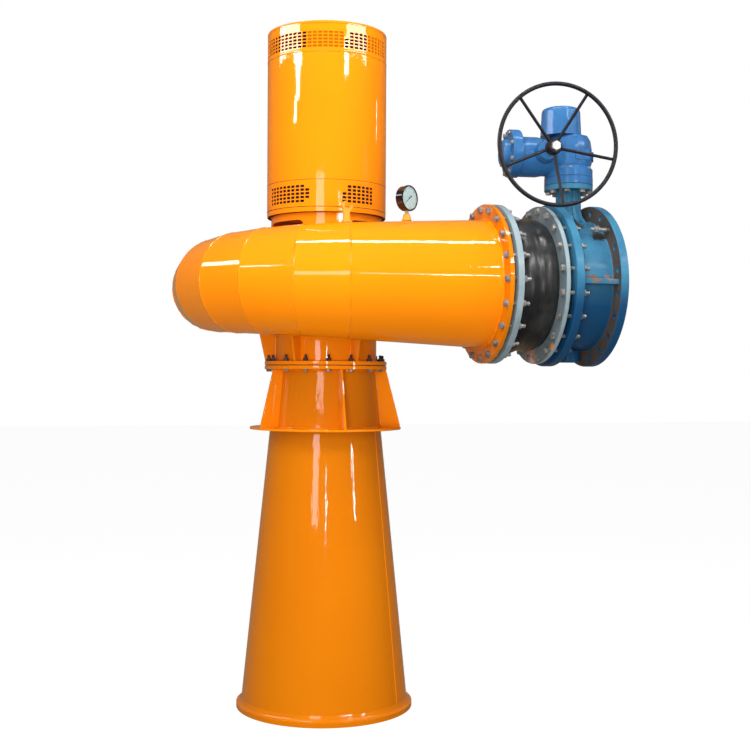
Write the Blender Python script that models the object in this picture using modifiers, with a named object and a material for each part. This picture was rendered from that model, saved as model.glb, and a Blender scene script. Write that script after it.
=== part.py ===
"""Vertical Kaplan turbine generating set: generator, scroll case, draft tube, expansion joint and inlet valve.

Metres, +Z up. The set stands on its draft tube's base ring, at z = 0. The inlet pipe runs along +X,
in front (-Y) of the turbine's upright axis. The handwheel turns about its own axis.
"""

import math

import bmesh
import bpy
from mathutils import Matrix, Vector

COLLECTION = "kaplan_turbine_generating_set"

# Gap between pieces that meet, and how far a welded or cast-on shape sinks into what carries it
GAP = 0.0003
WELD = 0.002

# Where the turbine's axis and the pipe's axis stand
TURBINE_X = -0.1861
TURBINE_Y = 0.1385
PIPE_OFFSET = 0.530
PIPE_Z = 1.878

# Facets round the turbine, round the pipe, on inner and middling pieces, and on small ones
TURBINE_STEPS = 48
PIPE_STEPS = 40
INNER_STEPS = 32
SMALL_STEPS = 20

# Draft tube: a steel cone between the base ring and the throat's flanges
BASE_RADIUS = 0.397
BASE_BORE = 0.366
BASE_HEIGHT = 0.020
BASE_FILLET_TOP = 0.046
BASE_FILLET = ((0.0020, 0.034), (0.0080, 0.025))
BASE_LIP = 0.005
CONE_FOOT_RADIUS = 0.3757
CONE_SLOPE = 0.1015
PLATE_THICKNESS = 0.008
FOUNDATION_Z = 1.246
FOUNDATION_THICKNESS = 0.010
FOUNDATION_RADIUS = 0.342
RIB_COUNT = 5
RIB_FIRST_ANGLE = -88.3
RIB_THICKNESS = 0.010
RIB_EDGE = 0.004

# Flanged joint under the throat
FLANGE_Z = 1.515
FLANGE_THICKNESS = 0.0165
FLANGE_RADIUS = 0.2765
GASKET_THICKNESS = 0.003
GASKET_INSET = 0.004
THROAT_RADIUS = 0.2295
THROAT_BORE = 0.2148
GUSSET_ANGLES = (167.2, -132.8, -72.8, 47.2, 107.2)
GUSSET_THICKNESS = 0.010
GUSSET_SHOULDER_Z = 1.680
GUSSET_SHOULDER_RADIUS = 0.3020

# Stay ring and its vanes
STAY_RADIUS = 0.3205
STAY_PLATE = 0.016
VANE_HEIGHT = 0.144
STAY_VANE_COUNT = 10
STAY_VANE_RADIUS = 0.280
STAY_VANE_LENGTH = 0.034
STAY_VANE_THICKNESS = 0.008
STAY_VANE_TURN = 35.0

# Scroll case: mitred steel segments whose section shrinks round the turbine
SCROLL_INLET_RADIUS = 0.2394
SCROLL_LEAST_RADIUS = 0.0760
SCROLL_SHRINK_POWER = 0.68
SCROLL_THROAT_HALF = 0.070
SCROLL_INNER_RADIUS = 0.3160
SCROLL_SEAMS = (22.8, 41.0, 58.5, 78.0, 98.0, 118.0, 138.0, 158.0, 178.0, 198.0, 218.0, 238.0, 258.0, 278.0, 298.0,
                318.0, 342.0)
FIRST_SEAM_X = -0.027
FIRST_SEAM_TURN = 12.0
SCROLL_FACETS = 32

# Runner, shaft and head cover
HUB_RADIUS = 0.090
HUB_TOP_Z = 1.725
RUNNER_Z = 1.655
HUB_NOSE_Z = 1.500
BLADE_COUNT = 4
BLADE_CHORD = 0.150
BLADE_THICKNESS = 0.010
BLADE_ROOT_PITCH = 42.0
BLADE_TIP_PITCH = 20.0
BLADE_TIP_CLEARANCE = 0.0012
BLADE_ROOT_CLEARANCE = 0.0013
SHAFT_RADIUS = 0.045
SHAFT_CLEARANCE = 0.004
COUPLING_RADIUS = 0.105
COUPLING_Z = 2.110
COUPLING_HALF = 0.025
HEAD_COVER_RADIUS = 0.290
HEAD_COVER_THICKNESS = 0.022
BEARING_RADIUS = 0.120
BEARING_HEIGHT = 0.075

# Generator and its stand
STAND_RADIUS = 0.250
WINDOW_ANGLES = (-153.4, -52.6, 26.6, 127.4)
WINDOW_WIDTH_DEG = 55.0
WINDOW_BOTTOM = 2.050
WINDOW_TOP = 2.167
WINDOW_CORNER = 0.030
GENERATOR_FOOT_Z = 2.198
GENERATOR_FOOT_HEIGHT = 0.022
GENERATOR_FOOT_RADIUS = 0.2685
GENERATOR_RADIUS = 0.269
GUARD_THICKNESS = 0.004
LOWER_GUARD_TOP = 2.338
UPPER_GUARD_FOOT = 2.890
UPPER_BEAD_HEIGHT = 0.012
UPPER_BEAD_RADIUS = 0.2725
UPPER_BEAD_SLOPE = 0.003
TOP_Z = 3.025
TOP_COVER_RIM = 0.012
TOP_COVER_DOME = 0.006
TOP_COVER_EDGE = 0.004
CORE_RADIUS = 0.215
CORE_END_GAP = 0.055

# Inlet pipe, its flange and the rubber joint, as distances from the turbine's axis along the pipe
PIPE_END_RADIUS = 0.271
INLET_FLANGE_X = (0.552, 0.570)
DN_FLANGE_RADIUS = 0.3365
RUBBER_FLANGE_RADIUS = 0.293
RUBBER_FLANGE_NEAR_X = (0.570, 0.587)
NEAR_RING_X = (0.587, 0.613)
FAR_RING_X = (0.792, 0.812)
RUBBER_FLANGE_FAR_X = (0.812, 0.836)
RUBBER_NECK_RADIUS = 0.266
RUBBER_ARCH_RADIUS = 0.296
RUBBER_BORE = 0.250
RUBBER_WALL = 0.014
RUBBER_ARCH_MARGIN = 0.004

# Butterfly valve
VALVE_X = (0.836, 1.066)
VALVE_FLANGE_THICKNESS = 0.035
VALVE_FLANGE_RADIUS = 0.3465
VALVE_BODY_RADIUS = 0.2775
VALVE_BORE = 0.250
BOLT_CIRCLE_RADIUS = 0.3145
BOLT_COUNT = 20
BOLT_HOLE_RADIUS = 0.013
VALVE_RIB_DEPTH = 0.048
VALVE_RIB_THICKNESS = 0.022
DISC_EDGE = 0.009
DISC_MIDDLE = 0.028
DISC_CHAMFER = 0.004
NECK_RADIUS = 0.0510
LOWER_BOSS_RADIUS = 0.050
LOWER_BOSS_DROP = 0.052

# Actuator on the valve's neck, in a frame turned about the stem
ACTUATOR_TURN = -5.4
VALVE_TOP_Z = (2.2888, 2.3116)
ACTUATOR_FLANGE_Z = (2.3116, 2.3453)
ACTUATOR_FLANGE_RADIUS = 0.104
GEAR_PROFILE = ((0.0, 2.5227), (0.0815, 2.5227), (0.0930, 2.5029), (0.0990, 2.4662), (0.0990, 2.4068),
                (0.0930, 2.3899), (0.1030, 2.3780), (0.1030, 2.3453), (0.0, 2.3453))
COVER_OFFSET = -0.0357
COVER_PROFILE = ((0.0, 2.6466), (0.0655, 2.6447), (0.0793, 2.6370), (0.0828, 2.6250), (0.0878, 2.5227), (0.0, 2.5227))
WORM_OFFSET = -0.1318
WORM_Z = 2.4412
WORM_BOSS_RADIUS = 0.048
WORM_BOSS_LENGTH = 0.127
ARM_Z = 2.4316
ARM_RADIUS = 0.0855
ARM_END = -0.228
CONTROL_FLANGE_RADIUS = 0.102
CONTROL_FLANGE_END = -0.2735
CONTROL_COVER_RADIUS = 0.0595
CONTROL_COVER_END = -0.3023
CONTROL_RAISE = 0.0119

# Handwheel
WHEEL_RADIUS = 0.2493
WHEEL_RIM_TUBE = 0.0088
WHEEL_RIM_GAP = 0.0005
WHEEL_DISH = 0.055
WHEEL_FIRST_SPOKE = 59.4
WHEEL_SPOKES = 5
WHEEL_SPOKE_TUBE = 0.0066
HUB_OUT = 0.1745
WHEEL_HUB_RADIUS = 0.032
WHEEL_HUB_LENGTH = 0.045
WHEEL_SHAFT_RADIUS = 0.014
NUT_RADIUS = 0.020
NUT_LENGTH = 0.016

# Pressure gauge on the pipe
GAUGE_X = 0.2205
BOSS_FOOT_RADIUS = 0.022
BOSS_TOP_RADIUS = 0.011
BOSS_TOP_Z = 2.1671
STEM_TOP_Z = 2.1731
STEM_RADIUS = 0.008
GAUGE_Z = 2.2275
GAUGE_RADIUS = 0.054
GAUGE_DEPTH = 0.036
GAUGE_FACING = -55.4
DIAL_DEPTH = 0.004
GAUGE_BEZEL = 0.006
GAUGE_LIP = 0.002
DIAL_RECESS = 0.0015

# Lifting eye on the scroll, cut open to a hook
EYE_X = -0.0389
EYE_HEIGHT = 0.098
EYE_HALF_WIDTH = 0.020
EYE_FOOT_HALF = 0.011
EYE_HOLE = 0.012
EYE_THICKNESS = 0.012
EYE_MOUTH = 0.016
EYE_MOUTH_ANGLE = 60.0


def wipe_scene():
    for obj in list(bpy.data.objects):
        bpy.data.objects.remove(obj, do_unlink=True)


def new_collection(name, hidden=False):
    made = bpy.data.collections.new(name)
    bpy.context.scene.collection.children.link(made)
    made.hide_render = hidden
    return made


def new_material(name, colour, roughness, metallic=0.0):
    made = bpy.data.materials.new(name)
    made.use_nodes = True
    shader = made.node_tree.nodes["Principled BSDF"]
    shader.inputs["Base Color"].default_value = (*colour, 1.0)
    shader.inputs["Roughness"].default_value = roughness
    shader.inputs["Metallic"].default_value = metallic
    made.diffuse_color = (*colour, 1.0)
    return made


def empty(name, location, rotation=(0.0, 0.0, 0.0), parent=None):
    made = bpy.data.objects.new(name, None)
    made.location = location
    made.rotation_euler = rotation
    made.parent = parent
    parts.objects.link(made)
    return made


def add_object(name, mesh, material, parent, group=None):
    made = bpy.data.objects.new(name, mesh)
    made.parent = parent
    (group or parts).objects.link(made)
    if material:
        mesh.materials.append(material)
    return made


def turned(name, profile, material, parent, steps=TURBINE_STEPS, group=None):
    """A turned piece about its frame's Z. A profile that touches the axis is open, any other is a loop."""
    count = len(profile)
    edges = [(i, i + 1) for i in range(count - 1)]
    if profile[0][0] > 0:
        edges.append((count - 1, 0))
    mesh = bpy.data.meshes.new(name)
    mesh.from_pydata([(radius, 0.0, height) for radius, height in profile], edges, [])
    made = add_object(name, mesh, material, parent, group)
    screw = made.modifiers.new("Turn", "SCREW")
    screw.steps = steps
    screw.render_steps = steps
    screw.use_merge_vertices = True
    screw.merge_threshold = 0.00001
    screw.use_smooth_shade = False
    return made


def collar(inner, outer, foot, top):
    """Profile of a plain ring."""
    return [(outer, top), (outer, foot), (inner, foot), (inner, top)]


def bar(radius, foot, top):
    """Profile of a plain round bar."""
    return [(0.0, top), (radius, top), (radius, foot), (0.0, foot)]


def box(bm, size, place):
    matrix = place @ Matrix.Diagonal((*size, 1.0))
    bmesh.ops.create_cube(bm, size=1.0, matrix=matrix)


def rod(bm, radius, start, end, sides=SMALL_STEPS):
    """A round bar between two points."""
    run = Vector(end) - Vector(start)
    turn = run.to_track_quat("Z", "Y").to_matrix().to_4x4()
    place = Matrix.Translation((Vector(start) + Vector(end)) / 2) @ turn
    bmesh.ops.create_cone(bm, cap_ends=True, segments=sides, radius1=radius, radius2=radius, depth=run.length,
                          matrix=place)


def from_bmesh(name, bm, material, parent, group=None):
    mesh = bpy.data.meshes.new(name)
    bmesh.ops.recalc_face_normals(bm, faces=bm.faces)
    bm.to_mesh(mesh)
    bm.free()
    return add_object(name, mesh, material, parent, group)


def plate(bm, outline, thickness, place):
    """A flat plate of the given outline, in its frame's XZ plane."""
    corners = [bm.verts.new(place @ Vector((x, -thickness / 2, z))) for x, z in outline]
    face = bm.faces.new(corners)
    grown = bmesh.ops.extrude_face_region(bm, geom=[face])
    moved = [item for item in grown["geom"] if isinstance(item, bmesh.types.BMVert)]
    bmesh.ops.translate(bm, verts=moved, vec=place.to_3x3() @ Vector((0.0, thickness, 0.0)))


def cut(piece, cutter, name):
    made = piece.modifiers.new(name, "BOOLEAN")
    made.operation = "DIFFERENCE"
    made.solver = "EXACT"
    made.object = cutter


def join(piece, other, name):
    made = piece.modifiers.new(name, "BOOLEAN")
    made.operation = "UNION"
    made.solver = "EXACT"
    made.object = other


def as_cutter(made):
    made.display_type = "WIRE"
    made.hide_render = True
    return made


def around(angle):
    return Matrix.Rotation(math.radians(angle), 4, "Z")


def cone_radius(height):
    """The draft tube's outer radius at a height."""
    return CONE_FOOT_RADIUS - (height - BASE_HEIGHT) * CONE_SLOPE


def make_draft_tube(turbine, orange):
    foot = BASE_HEIGHT + GAP
    top = FLANGE_Z - GAP
    turned("base_ring", [
        (cone_radius(BASE_FILLET_TOP) + 3 * GAP, BASE_FILLET_TOP),
        *[(CONE_FOOT_RADIUS + proud, height) for proud, height in BASE_FILLET],
        (BASE_RADIUS - BASE_LIP, BASE_HEIGHT),
        (BASE_RADIUS, BASE_HEIGHT - BASE_LIP),
        (BASE_RADIUS, BASE_LIP),
        (BASE_RADIUS - BASE_LIP, 0.0),
        (BASE_BORE, 0.0),
        (BASE_BORE, BASE_HEIGHT),
        (cone_radius(BASE_HEIGHT) + GAP, BASE_HEIGHT),
        (cone_radius(BASE_FILLET_TOP) + GAP, BASE_FILLET_TOP),
    ], orange, turbine)
    turned("draft_tube", [
        (cone_radius(top), top),
        (cone_radius(foot), foot),
        (cone_radius(foot) - PLATE_THICKNESS, foot),
        (cone_radius(top) - PLATE_THICKNESS, top),
    ], orange, turbine)
    plate_top = FOUNDATION_Z + FOUNDATION_THICKNESS
    foundation = turned("foundation_plate", [
        (FOUNDATION_RADIUS, plate_top),
        (FOUNDATION_RADIUS, FOUNDATION_Z),
        (cone_radius(FOUNDATION_Z) + GAP, FOUNDATION_Z),
        (cone_radius(plate_top) + GAP, plate_top),
    ], orange, turbine)
    bm = bmesh.new()
    rib_foot = plate_top - WELD
    outline = [
        (cone_radius(rib_foot) + GAP, rib_foot),
        (FOUNDATION_RADIUS - RIB_EDGE, rib_foot),
        (FLANGE_RADIUS - RIB_EDGE / 2, top),
        (cone_radius(top) + GAP, top),
    ]
    for index in range(RIB_COUNT):
        plate(bm, outline, RIB_THICKNESS, around(RIB_FIRST_ANGLE + index * 360 / RIB_COUNT))
    join(foundation, as_cutter(from_bmesh("rib_shapes", bm, None, turbine, cutters)), "Ribs")


def make_throat(turbine, orange, rubber):
    joint = FLANGE_Z + FLANGE_THICKNESS
    upper = joint + GASKET_THICKNESS
    upper_top = upper + FLANGE_THICKNESS
    stay_foot = PIPE_Z - VANE_HEIGHT / 2 - STAY_PLATE
    turned("draft_tube_flange", collar(THROAT_BORE, FLANGE_RADIUS, FLANGE_Z, joint), orange, turbine)
    turned("flange_gasket", collar(THROAT_BORE, FLANGE_RADIUS - GASKET_INSET, joint + GAP, upper - GAP), rubber,
           turbine)
    turned("throat_flange", collar(THROAT_BORE, FLANGE_RADIUS, upper, upper_top), orange, turbine)
    chamber = turned("runner_chamber", collar(THROAT_BORE, THROAT_RADIUS, upper_top + GAP, stay_foot - GAP), orange,
                     turbine)
    bm = bmesh.new()
    outline = [
        (THROAT_RADIUS - WELD, upper_top + GAP),
        (FLANGE_RADIUS - RIB_EDGE / 2, upper_top + GAP),
        (GUSSET_SHOULDER_RADIUS, GUSSET_SHOULDER_Z),
        (GUSSET_SHOULDER_RADIUS, stay_foot - GAP),
        (THROAT_RADIUS - WELD, stay_foot - GAP),
    ]
    for angle in GUSSET_ANGLES:
        plate(bm, outline, GUSSET_THICKNESS, around(angle))
    join(chamber, as_cutter(from_bmesh("gusset_shapes", bm, None, turbine, cutters)), "Gussets")


def make_stay_ring(turbine, orange):
    """Two flat rings that ten upright vanes hold apart, welded to one piece."""
    low = PIPE_Z - VANE_HEIGHT / 2
    high = PIPE_Z + VANE_HEIGHT / 2
    ring = turned("stay_ring", collar(THROAT_BORE, STAY_RADIUS, low - STAY_PLATE, low), orange, turbine)
    upper = turned("upper_ring_shape", collar(THROAT_BORE, STAY_RADIUS, high, high + STAY_PLATE), None, turbine,
                   group=cutters)
    bm = bmesh.new()
    for index in range(STAY_VANE_COUNT):
        place = around(index * 360 / STAY_VANE_COUNT) @ Matrix.Translation((STAY_VANE_RADIUS, 0.0, PIPE_Z))
        box(bm, (STAY_VANE_LENGTH, STAY_VANE_THICKNESS, VANE_HEIGHT + 2 * WELD), place @ around(STAY_VANE_TURN))
    join(ring, as_cutter(from_bmesh("vane_shapes", bm, None, turbine, cutters)), "Vanes")
    join(ring, as_cutter(upper), "Upper ring")


def section_radius(angle):
    """The scroll's section shrinks with the way round that is left."""
    law = SCROLL_INLET_RADIUS * max(1 - angle / 360, 0.0) ** SCROLL_SHRINK_POWER
    return max(law, SCROLL_LEAST_RADIUS)


def section_ring(centre, turn, radius, stretch, facets):
    """A mitre's section: an ellipse in an upright plane, turned from the -Y side towards -X."""
    way = Vector((-math.sin(math.radians(turn)), -math.cos(math.radians(turn)), 0.0))
    points = []
    for index in range(facets):
        angle = 2 * math.pi * index / facets
        points.append(centre + way * radius * stretch * math.cos(angle) + Vector((0, 0, radius * math.sin(angle))))
    return points


def tube_between(bm, outer, inner):
    """Closed shell between rows of rings: outer skin, inner skin and the two ends."""
    count = len(outer[0])
    rows = [[bm.verts.new(point) for point in ring] for ring in outer + inner[::-1]]
    for low, high in zip(rows, rows[1:] + rows[:1]):
        for index in range(count):
            after = (index + 1) % count
            bm.faces.new((low[index], low[after], high[after], high[index]))


def cap(bm, row):
    """Closes a ring with a strip of faces across it, so that a curved end stays curved."""
    half = len(row) // 2
    for index in range(half):
        corners = [row[index], row[index + 1], row[-index - 1], row[-index]]
        bm.faces.new(list(dict.fromkeys(corners)))


def solid_between(bm, rings):
    """Closed solid through a row of rings."""
    rows = [[bm.verts.new(point) for point in ring] for ring in rings]
    count = len(rows[0])
    for low, high in zip(rows, rows[1:]):
        for index in range(count):
            after = (index + 1) % count
            bm.faces.new((low[index], low[after], high[after], high[index]))
    cap(bm, rows[0])
    cap(bm, rows[-1])


def pipe_rings(shrink, start_shift):
    """The inlet pipe's two end sections, less a wall or plus a gap."""
    first = section_ring(Vector((FIRST_SEAM_X + start_shift, -PIPE_OFFSET, PIPE_Z)), FIRST_SEAM_TURN,
                         SCROLL_INLET_RADIUS - shrink, 1 / math.cos(math.radians(FIRST_SEAM_TURN)), SCROLL_FACETS)
    last = section_ring(Vector((INLET_FLANGE_X[0] - GAP, -PIPE_OFFSET, PIPE_Z)), 0.0, PIPE_END_RADIUS - shrink, 1.0,
                        SCROLL_FACETS)
    return [first, last]


def scroll_rings(shrink, last_turn):
    rings = [section_ring(Vector((FIRST_SEAM_X - GAP, -PIPE_OFFSET, PIPE_Z)), FIRST_SEAM_TURN,
                          SCROLL_INLET_RADIUS - shrink, 1 / math.cos(math.radians(FIRST_SEAM_TURN)), SCROLL_FACETS)]
    seams = list(SCROLL_SEAMS)
    seams[-1] += last_turn
    for seam in seams:
        radius = section_radius(seam)
        reach = SCROLL_INNER_RADIUS + math.sqrt(radius ** 2 - SCROLL_THROAT_HALF ** 2)
        angle = math.radians(seam)
        centre = Vector((-reach * math.sin(angle), -reach * math.cos(angle), PIPE_Z))
        rings.append(section_ring(centre, seam, radius - shrink, 1.0, SCROLL_FACETS))
    return rings


def make_scroll(turbine, orange):
    bm = bmesh.new()
    tube_between(bm, scroll_rings(0.0, 0.0), scroll_rings(PLATE_THICKNESS, -3.0))
    scroll = from_bmesh("scroll_case", bm, orange, turbine)
    bm = bmesh.new()
    tube_between(bm, pipe_rings(0.0, 0.0), pipe_rings(PLATE_THICKNESS, 0.0))
    pipe = from_bmesh("inlet_pipe", bm, orange, turbine)
    bm = bmesh.new()
    solid_between(bm, pipe_rings(-GAP, 0.0))
    pipe_cutter = as_cutter(from_bmesh("pipe_cutter", bm, None, turbine, cutters))
    stay_cutter = as_cutter(turned("stay_cutter", bar(STAY_RADIUS + GAP, PIPE_Z - 0.2, PIPE_Z + 0.2), None, turbine,
                                   group=cutters))
    cut(scroll, stay_cutter, "Open to the stay ring")
    cut(scroll, pipe_cutter, "Meet the pipe")
    cut(pipe, stay_cutter, "Open to the stay ring")


def make_eye(turbine, orange):
    bm = bmesh.new()
    foot = PIPE_Z + SCROLL_INLET_RADIUS + GAP
    crown = [(EYE_HALF_WIDTH * math.cos(math.radians(a)), EYE_HEIGHT - EYE_HALF_WIDTH + EYE_HALF_WIDTH
              * math.sin(math.radians(a))) for a in range(-30, 211, 20)]
    outline = [(-EYE_FOOT_HALF, 0.0), (EYE_FOOT_HALF, 0.0)] + crown
    place = Matrix.Translation((EYE_X, -PIPE_OFFSET, foot))
    plate(bm, outline, EYE_THICKNESS, place)
    eye = from_bmesh("lifting_eye", bm, orange, turbine)
    bm = bmesh.new()
    middle = foot + EYE_HEIGHT - EYE_HALF_WIDTH
    rod(bm, EYE_HOLE, (EYE_X, -PIPE_OFFSET - 0.05, middle), (EYE_X, -PIPE_OFFSET + 0.05, middle))
    cut(eye, as_cutter(from_bmesh("eye_cutter", bm, None, turbine, cutters)), "Eye")
    bm = bmesh.new()
    lean = Matrix.Translation((EYE_X, -PIPE_OFFSET, middle)) @ Matrix.Rotation(math.radians(-EYE_MOUTH_ANGLE), 4, "Y")
    box(bm, (2 * EYE_HALF_WIDTH, 4 * EYE_THICKNESS, EYE_MOUTH), lean @ Matrix.Translation((EYE_HALF_WIDTH, 0.0, 0.0)))
    cut(eye, as_cutter(from_bmesh("mouth_cutter", bm, None, turbine, cutters)), "Mouth")


def blade_rings(turn):
    """Sections of one runner blade, from its root on the hub to its tip."""
    rings = []
    root = HUB_RADIUS + BLADE_ROOT_CLEARANCE
    tip = THROAT_BORE - BLADE_TIP_CLEARANCE
    for step in range(5):
        share = step / 4
        radius = root + (tip - root) * share
        pitch = math.radians(BLADE_ROOT_PITCH + (BLADE_TIP_PITCH - BLADE_ROOT_PITCH) * share)
        half = BLADE_THICKNESS / 2 * (1 - 0.4 * share)
        chord = BLADE_CHORD * (0.75 + 0.45 * share)
        ring = []
        for along, across in ((-0.5, 0.0), (-0.3, -1.0), (0.0, -1.0), (0.3, -0.8), (0.5, 0.0), (0.3, 0.8), (0.0, 1.0),
                              (-0.3, 1.0)):
            run = along * chord
            arc = (run * math.cos(pitch) - across * half * math.sin(pitch)) / radius
            rise = run * math.sin(pitch) + across * half * math.cos(pitch)
            angle = math.radians(turn) + arc
            ring.append(Vector((radius * math.cos(angle), radius * math.sin(angle), RUNNER_Z + rise)))
        rings.append(ring)
    return rings


def make_runner(turbine, steel, bronze):
    turned("runner_hub", [
        (0.0, HUB_TOP_Z),
        (HUB_RADIUS * 0.75, HUB_TOP_Z),
        (HUB_RADIUS, RUNNER_Z + 0.058),
        (HUB_RADIUS, RUNNER_Z - 0.058),
        (HUB_RADIUS * 0.84, RUNNER_Z - 0.095),
        (HUB_RADIUS * 0.52, RUNNER_Z - 0.132),
        (HUB_RADIUS * 0.20, HUB_NOSE_Z + 0.006),
        (0.0, HUB_NOSE_Z),
    ], bronze, turbine, INNER_STEPS)
    for index in range(BLADE_COUNT):
        bm = bmesh.new()
        solid_between(bm, blade_rings(index * 360 / BLADE_COUNT + 20))
        from_bmesh(f"runner_blade_{index + 1}", bm, bronze, turbine)
    coupling_foot = COUPLING_Z - COUPLING_HALF
    turned("turbine_shaft", [
        (0.0, COUPLING_Z - GAP),
        (COUPLING_RADIUS, COUPLING_Z - GAP),
        (COUPLING_RADIUS, coupling_foot),
        (SHAFT_RADIUS, coupling_foot),
        (SHAFT_RADIUS, HUB_TOP_Z + GAP),
        (0.0, HUB_TOP_Z + GAP),
    ], steel, turbine, INNER_STEPS)
    turned("generator_shaft", [
        (0.0, GENERATOR_FOOT_Z + CORE_END_GAP),
        (SHAFT_RADIUS, GENERATOR_FOOT_Z + CORE_END_GAP),
        (SHAFT_RADIUS, COUPLING_Z + COUPLING_HALF),
        (COUPLING_RADIUS, COUPLING_Z + COUPLING_HALF),
        (COUPLING_RADIUS, COUPLING_Z + GAP),
        (0.0, COUPLING_Z + GAP),
    ], steel, turbine, INNER_STEPS)


def make_stand(turbine, orange):
    cover_foot = PIPE_Z + VANE_HEIGHT / 2 + STAY_PLATE + GAP
    cover_top = cover_foot + HEAD_COVER_THICKNESS
    turned("head_cover", collar(SHAFT_RADIUS + SHAFT_CLEARANCE, HEAD_COVER_RADIUS, cover_foot, cover_top), orange,
           turbine)
    turned("bearing_housing", collar(SHAFT_RADIUS + GAP, BEARING_RADIUS, cover_top + GAP, cover_top + BEARING_HEIGHT),
           orange, turbine, INNER_STEPS)
    stand = turned("generator_stand", collar(STAND_RADIUS - PLATE_THICKNESS, STAND_RADIUS, cover_top + GAP,
                                             GENERATOR_FOOT_Z - GAP), orange, turbine)
    bm = bmesh.new()
    half_height = (WINDOW_TOP - WINDOW_BOTTOM) / 2
    half_width = STAND_RADIUS * math.sin(math.radians(WINDOW_WIDTH_DEG / 2))
    outline = []
    for side, rise, start in ((1, -1, -90), (1, 1, 0), (-1, 1, 90), (-1, -1, 180)):
        for step in range(4):
            angle = math.radians(start + step * 30)
            outline.append((side * (half_width - WINDOW_CORNER) + WINDOW_CORNER * math.cos(angle),
                            rise * (half_height - WINDOW_CORNER) + WINDOW_CORNER * math.sin(angle)))
    middle = (WINDOW_TOP + WINDOW_BOTTOM) / 2
    for angle in WINDOW_ANGLES:
        place = around(angle - 90) @ Matrix.Translation((0.0, STAND_RADIUS - 0.02, middle))
        plate(bm, outline, 0.10, place)
    cut(stand, as_cutter(from_bmesh("window_cutter", bm, None, turbine, cutters)), "Windows")


def make_generator(turbine, orange, dark):
    foot_top = GENERATOR_FOOT_Z + GENERATOR_FOOT_HEIGHT
    inner = GENERATOR_RADIUS - GUARD_THICKNESS
    turned("generator_foot", collar(SHAFT_RADIUS + GAP, GENERATOR_FOOT_RADIUS, GENERATOR_FOOT_Z, foot_top), orange,
           turbine)
    turned("lower_guard", collar(inner, GENERATOR_RADIUS, foot_top + GAP, LOWER_GUARD_TOP - GAP), orange, turbine)
    turned("generator_shell", collar(CORE_RADIUS + GAP, GENERATOR_RADIUS, LOWER_GUARD_TOP, UPPER_GUARD_FOOT), orange,
           turbine)
    turned("generator_core", bar(CORE_RADIUS, GENERATOR_FOOT_Z + CORE_END_GAP + GAP, TOP_Z - CORE_END_GAP), dark,
           turbine)
    guard_top = TOP_Z - TOP_COVER_RIM
    bead_top = UPPER_GUARD_FOOT + GAP + UPPER_BEAD_HEIGHT
    turned("upper_guard", [
        (GENERATOR_RADIUS, guard_top),
        (GENERATOR_RADIUS, bead_top),
        (UPPER_BEAD_RADIUS, bead_top - UPPER_BEAD_SLOPE),
        (UPPER_BEAD_RADIUS, UPPER_GUARD_FOOT + UPPER_BEAD_SLOPE),
        (GENERATOR_RADIUS, UPPER_GUARD_FOOT + GAP),
        (inner, UPPER_GUARD_FOOT + GAP),
        (inner, guard_top),
    ], orange, turbine)
    turned("generator_top_cover", [
        (0.0, TOP_Z + TOP_COVER_DOME),
        (GENERATOR_RADIUS * 0.6, TOP_Z + TOP_COVER_DOME * 0.7),
        (GENERATOR_RADIUS - TOP_COVER_EDGE, TOP_Z),
        (GENERATOR_RADIUS, TOP_Z - TOP_COVER_EDGE),
        (GENERATOR_RADIUS, guard_top + GAP),
        (0.0, guard_top + GAP),
    ], orange, turbine)


def make_gauge(turbine, orange, brass, dark, white):
    share = (GAUGE_X + BOSS_FOOT_RADIUS - FIRST_SEAM_X) / (INLET_FLANGE_X[0] - FIRST_SEAM_X)
    foot = PIPE_Z + SCROLL_INLET_RADIUS + (PIPE_END_RADIUS - SCROLL_INLET_RADIUS) * share + GAP
    spot = empty("gauge_spot", (GAUGE_X, -PIPE_OFFSET, 0.0), parent=turbine)
    turned("gauge_boss", [
        (0.0, BOSS_TOP_Z),
        (BOSS_TOP_RADIUS, BOSS_TOP_Z),
        (BOSS_FOOT_RADIUS, foot),
        (0.0, foot),
    ], orange, spot, SMALL_STEPS)
    turned("gauge_connector", bar(STEM_RADIUS, BOSS_TOP_Z + GAP, STEM_TOP_Z), brass, spot, 6)
    face = empty("gauge_face", (0.0, 0.0, GAUGE_Z), (math.radians(90), 0.0, math.radians(GAUGE_FACING + 90)), spot)
    turned("gauge_case", [
        (0.0, GAUGE_DEPTH / 2 - DIAL_DEPTH),
        (GAUGE_RADIUS - GAUGE_BEZEL, GAUGE_DEPTH / 2 - DIAL_DEPTH),
        (GAUGE_RADIUS - GAUGE_BEZEL, GAUGE_DEPTH / 2),
        (GAUGE_RADIUS, GAUGE_DEPTH / 2 - GAUGE_LIP),
        (GAUGE_RADIUS, -GAUGE_DEPTH / 2 + 2 * GAUGE_LIP),
        (GAUGE_RADIUS - GAUGE_BEZEL, -GAUGE_DEPTH / 2),
        (0.0, -GAUGE_DEPTH / 2),
    ], dark, face, INNER_STEPS)
    dial = bar(GAUGE_RADIUS - GAUGE_BEZEL - GAP, GAUGE_DEPTH / 2 - DIAL_DEPTH + GAP, GAUGE_DEPTH / 2 - DIAL_RECESS)
    turned("gauge_dial", dial, white, face, INNER_STEPS)


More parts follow.
